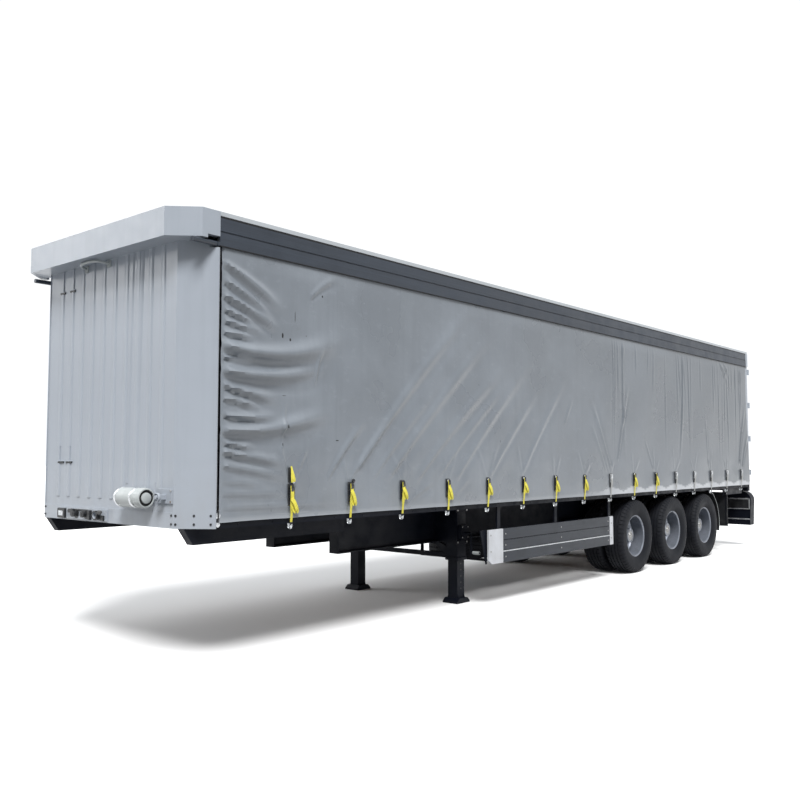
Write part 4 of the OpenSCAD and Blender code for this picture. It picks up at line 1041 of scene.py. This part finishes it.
def make_couplings(context):
    """Dark boxes, air heads and a sleeve on the pale service panel."""
    low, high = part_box("service_panel")
    shape = Shape()
    z = SILL_LOW.z + 0.060
    face = low.x + 0.010
    for y0, y1, z0, z1, out in ((-0.725, -0.600, 0.012, 0.100, 0.020),
                                (-0.540, -0.455, 0.064, 0.098, 0.022),
                                (-0.515, -0.225, 0.086, 0.100, 0.008),
                                (-0.210, -0.165, 0.016, 0.098, 0.026), (-0.015, 0.040, 0.016, 0.060, 0.016)):
        shape.add(slab((face - 0.002, y0, SILL_LOW.z + z0), (face + out, y1, SILL_LOW.z + z1), 0.003))
    shape.add(slab((face + 0.018, -0.700, SILL_LOW.z + 0.034), (face + 0.024, -0.625, SILL_LOW.z + 0.078),
                   0.002), finish=1)
    for y in (-0.420, -0.260):
        head = [(0, 0.0505), (0.012, 0.0505), (0.016, 0.046), (0.027, 0.046), (0.0275, 0.030),
                (0.0255, 0.028), (0.0255, 0.004), (0.040, 0.004), (0.040, 0.0), (0, 0.0)]
        shape.add(turned(head, (face, y, z), "x", 28))
        wing = curve([(face + 0.038, y + 0.018, z - 0.020), (face + 0.042, y + 0.030, z + 0.002),
                      (face + 0.038, y + 0.020, z + 0.028)], 10)
        shape.add(swept(wing, strip(0.012, 0.009), out=(1, 0, 0)))
    sleeve = [(0.0285, 0.0405), (0.0400, 0.0405), (0.0400, 0.0), (0.0365, 0.0), (0.0365, 0.038),
              (0.0285, 0.038)]
    shape.add(turned(sleeve, (face, -0.060, z), "x", 32), close_rows=True)
    lid = [(0, 0.004), (0.034, 0.004), (0.041, 0.0), (0.041, -0.004), (0, -0.004)]
    cover = turned(lid, (0, 0, 0.046), "x", 28)
    across, up = cover[..., 0], cover[..., 2]
    tipped = [face + 0.044 + 0.82 * across, cover[..., 1] + 0.030, z + 0.012 + 0.35 * up - across]
    shape.add(np.stack(tipped, -1))
    for y in (low.y + 0.03, -0.575, -0.120, high.y - 0.03):
        for dz in (0.020, 0.092):
            shape.add(bolt((face, y, SILL_LOW.z + dz), "x", 0.0055, 0.004), finish=1)
    shape.build("coupling_heads", [FINISH["black_plastic"], FINISH["galvanised"]], "black_plastic")


# ---------------------------------------------------------------- chassis, guards and rear

def make_landing_fittings(context):
    """Gussets, bolts and wear rings on the landing legs, the crank's grip, and ribs on the feet."""
    low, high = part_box("landing_legs")
    x = (low.x + high.x) / 2
    y = 0.770
    collar = 0.480
    shape = Shape()
    for _, side in SIDES:
        shape.add(mirrored(slab((x - 0.090, y - 0.090, collar), (x + 0.090, y + 0.090, collar + 0.036),
                                0.004), side))
        for z in (0.66, 1.02):
            shape.add(mirrored(slab((x - 0.105, y + 0.0795, z), (x + 0.105, y + 0.088, z + 0.050), 0.003),
                               side))
            for dx in (-0.085, 0.085):
                shape.add(mirrored(bolt((x + dx, y + 0.088, z + 0.025), "y", 0.011, 0.009), side), finish=1)
        for dx in (-0.055, 0.055):
            x0, x1 = x + dx - 0.004, x + dx + 0.004
            rib = [[(x0, y - reach, z), (x1, y - reach, z), (x1, y + reach, z), (x0, y + reach, z)]
                   for z, reach in ((0.016, 0.094), (0.095, 0.067))]
            shape.add(mirrored(capped(np.array(rib)), side))
        hole = [(0, 0), (0.009, 0), (0.009, -0.0015), (0, -0.0015)]
        for z in np.linspace(0.16, 0.44, 5):
            shape.add(mirrored(turned(hole, (x, y + 0.0675, z), "y", 12), side), finish=2)
    crank_low, crank_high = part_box("landing_crank")
    grip = [(0, 0), (0.017, 0), (0.019, 0.006), (0.019, 0.084), (0.017, 0.090), (0, 0.090)]
    shape.add(turned(grip, (x, crank_high.y - 0.091, 0.574), "y", 20), finish=3)
    for dx, dz in ((-0.052, 0.742), (0.052, 0.742), (-0.052, 0.858), (0.052, 0.858)):
        shape.add(bolt((x + dx, crank_low.y + 0.050, dz), "y", 0.008, 0.007), finish=1)
    names = ("chassis_paint", "bare_steel", "black_plastic", "grey_plastic")
    shape.build("leg_fittings", [FINISH[name] for name in names], "chassis_paint")


RIVET_PITCH = 0.366


def make_guard_trim(context):
    """Cover strips between the side guards' planks, their bolts and braces, rave rivets and rail seals."""
    low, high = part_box("side_guards")
    shape = Shape()
    for _, side in SIDES:
        for z0, z1, out, finish in ((0.121, 0.1325, 0.001, 0), (0.2505, 0.2575, -0.006, 2)):
            cover = slab((low.x + 0.001, high.y - 0.018, low.z + z0),
                         (high.x - 0.001, high.y + out, low.z + z1), 0.001)
            shape.add(mirrored(cover, side), finish=finish)
        for x in (high.x - 0.05, (low.x + high.x) / 2, low.x + 0.05):
            for z in (low.z + 0.064, low.z + 0.194, low.z + 0.320):
                shape.add(mirrored(bolt((x, high.y, z), "y", 0.009, 0.004, 12), side), finish=1)
        for x, zs in ((high.x + 0.245, (0.60, 0.78)), (low.x - 0.05, (0.55, 0.75))):
            for z in zs:
                shape.add(mirrored(bolt((x, high.y, z), "y", 0.009, 0.005, 12), side), finish=1)
        x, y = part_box("guard_ends")[1].x, high.y - 0.045
        outline = ((-0.012, 0.465), (0.004, 0.462), (0.115, 0.838), (-0.012, 0.838))
        brace = np.array([[(x + dx, y + w, z) for dx, z in outline] for w in (-0.006, 0.006)])
        shape.add(mirrored(capped(brace), side), finish=2)
    shape.build("guard_trim", [FINISH["galvanised"], FINISH["bare_steel"], FINISH["chassis_paint"]],
                "galvanised")
    rivets = Shape()
    dome = [(0, 0), (0.008, 0), (0.0072, 0.002), (0.004, 0.0035), (0, 0.0038)]
    for _, side in SIDES:
        for x in np.arange(RAVE_LOW.x + 0.2, RAVE_HIGH.x - 0.1, RIVET_PITCH):
            rivets.add(mirrored(turned(dome, (x, RAVE_HIGH.y, RAVE_LOW.z + 0.020), "y", 8), side))
    rivets.build("rave_rivets", [FINISH["chassis_paint"]], "chassis_paint")
    # Painted shadow: thin dark strips along the top and the foot of each roof rail stand for the shadow lines
    # under the roof edge and where the curtain comes out below the rail.
    shadow_strips = Shape()
    low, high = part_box("roof_rails")
    for _, side in SIDES:
        for z0, z1, out in ((high.z - 0.016, high.z - 0.001, 0.0012), (low.z - 0.001, low.z + 0.007, 0.0052)):
            seal = slab((low.x + 0.002, 1.262, z0), (HEADER_LOW.x - 0.002, CLOTH_HIGH.y + out, z1), 0.0008)
            shadow_strips.add(mirrored(seal, side))
    shadow_strips.build("rail_shadow_strips", [FINISH["rubber"]], "rubber")


def make_rear_fittings(context):
    """Blank plate in its pale frame, bright trim, lamp bezels, reflectors and the fenders' rolled edges."""
    lamps_low, lamps_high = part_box("rear_lamps")
    shape = Shape()
    front = DOORS_X + 0.007
    for _, side in SIDES:
        y0, y1, z0, z1 = 0.815, 1.255, 0.680, 0.885
        shape.add(mirrored(slab((front, y0, z0), (front + 0.006, y1, z1), 0.002), side), finish=1)
        for a, b in (((y0, z1 - 0.022), (y1, z1)), ((y0, z0), (y1, z0 + 0.016)),
                     ((y1 - 0.018, z0), (y1, z1)), ((y0, z0), (y0 + 0.014, z1))):
            shape.add(mirrored(slab((front, a[0], a[1]), (front + 0.016, b[0], b[1]), 0.002), side))
        shape.add(mirrored(slab((front, 0.800, 0.488), (front + 0.006, 1.250, 0.510), 0.002), side))
        for y in (0.885, 1.045):
            for y_in, z_in, y_out, z_out in ((-0.078, 0.612, 0.078, 0.620), (-0.078, 0.760, 0.078, 0.768),
                                             (-0.078, 0.612, -0.070, 0.768), (0.070, 0.612, 0.078, 0.768)):
                bezel = slab((lamps_low.x, y + y_in, z_in), (lamps_high.x + 0.001, y + y_out, z_out), 0.002)
                shape.add(mirrored(bezel, side), finish=1)
        reflector = slab((lamps_high.x - 0.006, 1.170, 0.655), (lamps_high.x, 1.225, 0.725), 0.002)
        shape.add(mirrored(reflector, side), finish=2)
    finishes = [FINISH["galvanised"], FINISH["black_plastic"], FINISH["lamp_lens"]]
    shape.build("rear_trim", finishes, "galvanised")
    edge = Shape()
    guards_low, guards_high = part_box("rear_mudguards")
    tyre_r, fender_r = 0.520, 0.606
    centre_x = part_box("tyres_3_left")[0].x + tyre_r
    a = np.radians(np.linspace(122, 192, 30))
    for _, side in SIDES:
        rim = np.stack([centre_x + fender_r * np.cos(a), np.full(len(a), guards_high.y - 0.001),
                        tyre_r + fender_r * np.sin(a)], -1)
        edge.add(mirrored(swept(rim, circle(0.005, 8), out=(0, 1, 0)), side))
        flap_x, flap_y = guards_low.x, guards_high.y - 0.03
        rib = curve([(flap_x + 0.012, flap_y, 0.98), (flap_x + 0.016, flap_y, 0.70),
                     (flap_x + 0.012, flap_y, 0.46)], 12)
        edge.add(mirrored(swept(rib, strip(0.012, 0.006), out=(1, 0, 0)), side), finish=1)
        shield = slab((flap_x - 0.85, guards_high.y - 0.050, 0.985),
                      (flap_x + 0.10, guards_high.y - 0.040, RAVE_LOW.z - 0.001), 0.002)
        edge.add(mirrored(shield, side), finish=1)
    edge.build("fender_edges", [FINISH["grey_plastic"], FINISH["chassis_paint"]], "rubber")


DOOR_INNER, DOOR_OUTER = 0.003, 1.119
LOCK_RODS = (0.268, 0.848)
CAM = [(0, -0.010), (0.009, -0.010), (0.0118, -0.006), (0.0118, 0.006), (0.009, 0.010), (0, 0.010)]


def make_door_fittings(context):
    """Rubber seals round each rear door, hinge bolts, cam ends and handle grips, riding on the doors.

    Nothing stands more than 24 mm out of a door, so that it still clears the curtain when it is folded back.
    """
    for side_name, side in SIDES:
        low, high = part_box("rear_door_" + side_name)
        inner, outer = DOOR_INNER, DOOR_OUTER
        out_x = DOORS_X
        seal = Shape()
        for a, b in (((inner, low.z), (inner + 0.022, high.z)), ((outer - 0.022, low.z), (outer, high.z)),
                     ((inner, low.z), (outer, low.z + 0.022)), ((inner, high.z - 0.022), (outer, high.z))):
            seal.add(mirrored(slab((out_x - 0.004, a[0], a[1]), (out_x + 0.004, b[0], b[1]), 0.003), side))
        seal.build("door_seal_" + side_name, [FINISH["rubber"]], "rubber", "door_" + side_name)
        gear = Shape()
        for y in LOCK_RODS:
            for z in (low.z + 0.012, high.z - 0.012):
                gear.add(mirrored(turned(CAM, (out_x - 0.012, y, z), "z", 18), side))
            grip = curve([(out_x - 0.012, y + 0.262, 1.757), (out_x - 0.0145, y + 0.20, 1.752),
                          (out_x - 0.0145, y + 0.08, 1.752), (out_x - 0.012, y + 0.02, 1.757)], 14)
            gear.add(mirrored(swept(grip, circle(0.009, 10), out=(0, 0, 1)), side))
            gear.add(mirrored(slab((out_x - 0.014, y + 0.215, 1.715), (out_x, y + 0.255, 1.795), 0.003),
                              side))
            for k in range(5):
                z = low.z + 0.045 + k * (high.z - low.z - 0.090) / 4
                for dy in (-0.038, 0.038):
                    gear.add(mirrored(bolt((out_x, y + dy, z), "x", 0.0055, -0.005), side))
        for k in range(4):
            z = low.z + 0.180 + k * (high.z - low.z - 0.360) / 3
            for y in (0.985, 1.030, 1.080):
                gear.add(mirrored(bolt((out_x - 0.020, y, z), "x", 0.008, -0.0036), side))
        gear.build("door_hardware_" + side_name, [FINISH["galvanised"]], "galvanised", "door_" + side_name)


U_BOLT = ((0.425, 0.650), (0.425, 0.560), (0.430, 0.470), (0.460, 0.446),
          (0.520, 0.446), (0.550, 0.470), (0.555, 0.560), (0.555, 0.650))
BRAKE_HOSE = ((0.30, 0.33, 0.60), (0.34, 0.34, 0.70), (0.30, 0.38, 0.84), (0.22, 0.46, 0.93),
              (0.20, 0.478, 0.98))
# A pipe is its place across, its height and its radius
PIPES = ((0.470, 1.000, 0.009), (0.470, 0.970, 0.007), (-0.470, 1.000, 0.009), (-0.470, 0.975, 0.009),
         (-0.470, 0.950, 0.006))
SPARE_RIM = [(0.302, -0.140), (0.302, -0.131), (0.286, -0.122), (0.286, 0.058), (0.302, 0.066),
             (0.302, 0.076), (0.270, 0.076), (0.216, 0.140), (0.110, 0.140), (0.110, 0.126), (0.208, 0.126),
             (0.262, 0.062), (0.274, 0.046), (0.274, -0.128), (0.286, -0.140)]


def make_underbody_fittings(context):
    """U-bolts over the axles, brake hoses, air pipes along the beams, and the spare wheel."""
    bolts, pipes = Shape(), Shape()
    for i in (1, 2, 3):
        low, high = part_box(f"tyres_{i}_left")
        x = (low.x + high.x) / 2
        for _, side in SIDES:
            for dx in (-0.048, 0.048):
                u = curve([(x + dx, y, z) for y, z in U_BOLT], 30)
                bolts.add(mirrored(swept(u, circle(0.010, 8), out=(1, 0, 0)), side))
                for y in (0.425, 0.555):
                    bolts.add(mirrored(bolt((x + dx, y, 0.640), "z", 0.017, 0.020), side))
            hose = curve([(x + dx, y, z) for dx, y, z in BRAKE_HOSE], 28)
            pipes.add(mirrored(swept(hose, circle(0.009, 8), out=(1, 0.2, 0)), side))
    beam_low, beam_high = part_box("main_beams")
    for y, z, radius in PIPES:
        pipes.add(rod((beam_low.x + 0.35, y, z), (beam_high.x - 0.6, y, z), radius, 8))
    bolts.build("axle_bolts", [FINISH["bare_steel"]], "bare_steel")
    pipes.build("air_pipes", [FINISH["black_plastic"]], "black_plastic")
    low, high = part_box("spare_wheel")
    x, z, r = (low.x + high.x) / 2, (low.z + high.z) / 2, (high.x - low.x) / 2
    grid = tyre_grid((0, 0, 0), r - 0.0005, 0.144, context.scene.trailer_tyres)
    tyre = Shape().add(grid[..., [0, 2, 1]] * np.array([1, -1, 1]) + np.array([x, 0, z]), close_rows=True)
    tyre.add(turned(SPARE_RIM, (x, 0, z), "z", 72), close_rows=True, finish=1)
    piece = tyre.build("spare_wheel_set", [FINISH["tyre"], FINISH["rim_paint"]], "tyre", crease=38)
    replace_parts(piece, "spare_wheel")


# ---------------------------------------------------------------- finishes and stage

NODE_FINISH = {"guard_ends": "guard_end_paint", "guard_posts": "chassis_paint",
               "landing_crank": "chassis_paint", "service_panel": "body_paint"}


def dress_frame(context):
    """Gives every CAD node the finish of its slot in the record."""
    FINISH.clear()
    FINISH.update(finishes_for(context.scene))
    for part in frame["record"]["subparts"]:
        node = frame["nodes"][part["node"]]
        finish = FINISH[NODE_FINISH.get(part["node"], part["material_slot"])]
        for holder in node.material_slots:
            holder.material = finish


# A band of the sky is its direction, and how strong it is from one share of facing it to another
SKY_BANDS = (((-0.76, -0.65, 0.0), -0.25, 0.45, 0.30, 1.02), ((0, 0, 1), 0.1, 0.9, 0.0, 0.35))


def studio_sky(strength):
    """A sky that lights from behind the trailer and overhead, dims before its near side, and looks white."""
    world = bpy.data.worlds.new("studio_sky")
    world.use_nodes = True
    nodes, links = world.node_tree.nodes, world.node_tree.links
    way = nodes.new("ShaderNodeTexCoord").outputs["Generated"]
    total = None
    for direction, low, high, bottom, top in SKY_BANDS:
        dot = nodes.new("ShaderNodeVectorMath")
        dot.operation = "DOT_PRODUCT"
        links.new(way, dot.inputs[0])
        dot.inputs[1].default_value = direction
        band = nodes.new("ShaderNodeMapRange")
        links.new(dot.outputs["Value"], band.inputs["Value"])
        for name, value in (("From Min", low), ("From Max", high), ("To Min", bottom), ("To Max", top)):
            band.inputs[name].default_value = value * (strength if name.startswith("To") else 1)
        both = nodes.new("ShaderNodeMath")
        links.new(band.outputs[0], both.inputs[0])
        both.inputs[1].default_value = 0.0
        if total is not None:
            links.new(total, both.inputs[1])
        total = both.outputs[0]
    seen = nodes.new("ShaderNodeMix")
    links.new(nodes.new("ShaderNodeLightPath").outputs["Is Camera Ray"], seen.inputs[0])
    links.new(total, seen.inputs[2])
    seen.inputs[3].default_value = 1.06 * strength
    sky = nodes["Background"]
    sky.inputs["Color"].default_value = (0.97, 0.985, 1.0, 1.0)
    links.new(seen.outputs[0], sky.inputs["Strength"])
    return world


def make_stage(context):
    """A pale floor that meets a white sky, a broad key light, a soft fill from the front, and the camera."""
    settings = context.scene.trailer_stage
    scene = context.scene
    scene.view_settings.view_transform = "Standard"
    scene.world = studio_sky(settings.sky)
    size = 140.0
    mesh = bpy.data.meshes.new("studio_floor")
    corners = [(-size, -size, 0), (size, -size, 0), (size, size, 0), (-size, size, 0)]
    mesh.from_pydata(corners, [], [(0, 1, 2, 3)])
    floor = bpy.data.objects.new("studio_floor", mesh)
    scene.collection.objects.link(floor)
    paper = Finish("studio_paper", roughness=0.9, specular=0.1)
    mesh.materials.append(paper.done(paper.mix(paper.noise(0.6, 2.0), (0.88, 0.88, 0.88),
                                               (0.91, 0.91, 0.91))))
    floor.visible_diffuse = False
    lamps = (("key", settings.key, (6.5, 7, 13), 22), ("front_fill", settings.fill, (6, -11, 5), 24))
    for name, energy, place, spread in lamps:
        lamp = bpy.data.lights.new(name, "SUN")
        lamp.energy = energy
        lamp.angle = math.radians(spread)
        light = bpy.data.objects.new(name, lamp)
        light.rotation_euler = (-Vector(place)).to_track_quat("-Z", "Y").to_euler()
        scene.collection.objects.link(light)
    camera = bpy.data.cameras.new("view")
    camera.sensor_width = 36.0
    camera.lens = settings.lens
    camera.clip_end = 500
    eye = bpy.data.objects.new("view", camera)
    eye.location = settings.eye
    turn, rise = settings.heading, settings.pitch
    ahead = Vector((-math.cos(turn) * math.cos(rise), -math.sin(turn) * math.cos(rise), math.sin(rise)))
    eye.rotation_euler = ahead.to_track_quat("-Z", "Y").to_euler()
    scene.collection.objects.link(eye)
    scene.camera = eye


# ---------------------------------------------------------------- add-on

class StageSettings(bpy.types.PropertyGroup):
    """Light and camera."""
    sky: FloatProperty(name="Sky", description="Strength of the white sky", default=1.0, min=0)
    key: FloatProperty(name="Key", description="Strength of the key light", default=4.0, min=0)
    fill: FloatProperty(name="Fill", description="Strength of the front fill", default=0.55, min=0)
    lens: FloatProperty(name="Lens", description="Focal length in millimetres", default=38.735, min=10)
    eye: FloatVectorProperty(name="Eye", description="Place of the camera",
                             default=(10.237, 6.7426, 1.6551), subtype="XYZ", unit="LENGTH")
    heading: FloatProperty(name="Heading", description="Turn of the view from straight back",
                           default=0.7062, subtype="ANGLE")
    pitch: FloatProperty(name="Pitch", description="Rise of the view", default=0.0657, subtype="ANGLE")


class PaintSettings(bpy.types.PropertyGroup):
    """Colours of the painted parts."""
    panels: FloatVectorProperty(name="Panels", description="Front wall, posts and doors",
                                default=(0.37, 0.405, 0.455), subtype="COLOR", min=0, max=1)
    chassis: FloatVectorProperty(name="Chassis", description="Beams, legs and bumper",
                                 default=(0.0030, 0.0042, 0.0085), subtype="COLOR", min=0, max=1)
    rails: FloatVectorProperty(name="Rails", description="Rails under the roof",
                               default=(0.026, 0.034, 0.048), subtype="COLOR", min=0, max=1)
    rims: FloatVectorProperty(name="Rims", description="Wheel rims",
                              default=(0.23, 0.25, 0.29), subtype="COLOR", min=0, max=1)


class CurtainSettings(bpy.types.PropertyGroup):
    """Cloth of the side curtains."""
    colour: FloatVectorProperty(name="Cloth", description="Colour of the curtain cloth",
                                default=(0.208, 0.232, 0.262), subtype="COLOR", min=0, max=1)
    fold_depth: FloatProperty(name="Fold depth",
                              description="How deep the pleats are, as a share of the usual", default=1.25,
                              min=0, max=1.4)


class StrapSettings(bpy.types.PropertyGroup):
    """Webbing of the curtain straps."""
    colour: FloatVectorProperty(name="Webbing", description="Colour of the webbing",
                                default=(0.86, 0.77, 0.10), subtype="COLOR", min=0, max=1)


class TyreSettings(bpy.types.PropertyGroup):
    """Tread of the tyres."""
    blocks: IntProperty(name="Blocks", description="Shoulder blocks round a tyre",
                        default=52, min=24, max=72)
    tread: FloatProperty(name="Tread", description="Depth of the grooves",
                         default=0.012, min=0.002, max=0.02, unit="LENGTH")


STEPS = []


def operator(name, label, work):
    """One add-on operator that runs one making function."""
    def execute(self, context):
        work(context)
        return {"FINISHED"}
    made = type("TRAILER_OT_" + name, (bpy.types.Operator,), {
        "bl_idname": "trailer." + name, "bl_label": label, "__doc__": work.__doc__, "execute": execute})
    STEPS.append(made)


class TRAILER_PT_make(bpy.types.Panel):
    """Lists the trailer's settings and pieces."""
    bl_label = "Semi trailer"
    bl_space_type = "VIEW_3D"
    bl_region_type = "UI"
    bl_category = "Trailer"

    def draw(self, context):
        for group in GROUPS:
            settings = getattr(context.scene, group)
            for name in settings.bl_rna.properties.keys():
                if name not in ("rna_type", "name"):
                    self.layout.prop(settings, name)
        for step in STEPS:
            self.layout.operator(step.bl_idname)


GROUPS = {
    "trailer_stage": StageSettings, "trailer_paint": PaintSettings, "trailer_curtain": CurtainSettings,
    "trailer_straps": StrapSettings, "trailer_tyres": TyreSettings,
}

for entry in (
        ("stage", "Stage", make_stage),
        ("frame", "Frame finishes", dress_frame),
        ("curtains", "Curtains", make_curtains),
        ("straps", "Straps", make_straps),
        ("tyres", "Tyres", make_tyres),
        ("wheel_fittings", "Wheel fittings", make_wheel_fittings),
        ("front_wall", "Front wall fittings", make_front_wall_fittings),
        ("frame_bolts", "Frame bolts", make_frame_bolts),
        ("document_holder", "Document holder", make_document_holder),
        ("couplings", "Couplings", make_couplings),
        ("landing_gear", "Landing gear fittings", make_landing_fittings),
        ("guard_trim", "Guard trim", make_guard_trim),
        ("rear", "Rear fittings", make_rear_fittings),
        ("doors", "Door fittings", make_door_fittings),
        ("underbody", "Underbody fittings", make_underbody_fittings),
):
    operator(*entry)


def register():
    """Registers the settings, the operators and the panel."""
    for group, kind in GROUPS.items():
        bpy.utils.register_class(kind)
        setattr(bpy.types.Scene, group, PointerProperty(type=kind))
    for step in STEPS:
        bpy.utils.register_class(step)
    bpy.utils.register_class(TRAILER_PT_make)


def unregister():
    """Takes them away again."""
    bpy.utils.unregister_class(TRAILER_PT_make)
    for step in reversed(STEPS):
        bpy.utils.unregister_class(step)
    for group, kind in GROUPS.items():
        delattr(bpy.types.Scene, group)
        bpy.utils.unregister_class(kind)


def main():
    """Registers the add-on, makes every piece in order, and writes both boxes."""
    register()
    for step in STEPS:
        getattr(bpy.ops.trailer, step.bl_idname.split(".")[1])()
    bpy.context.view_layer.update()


if __name__ == "__main__":
    main()
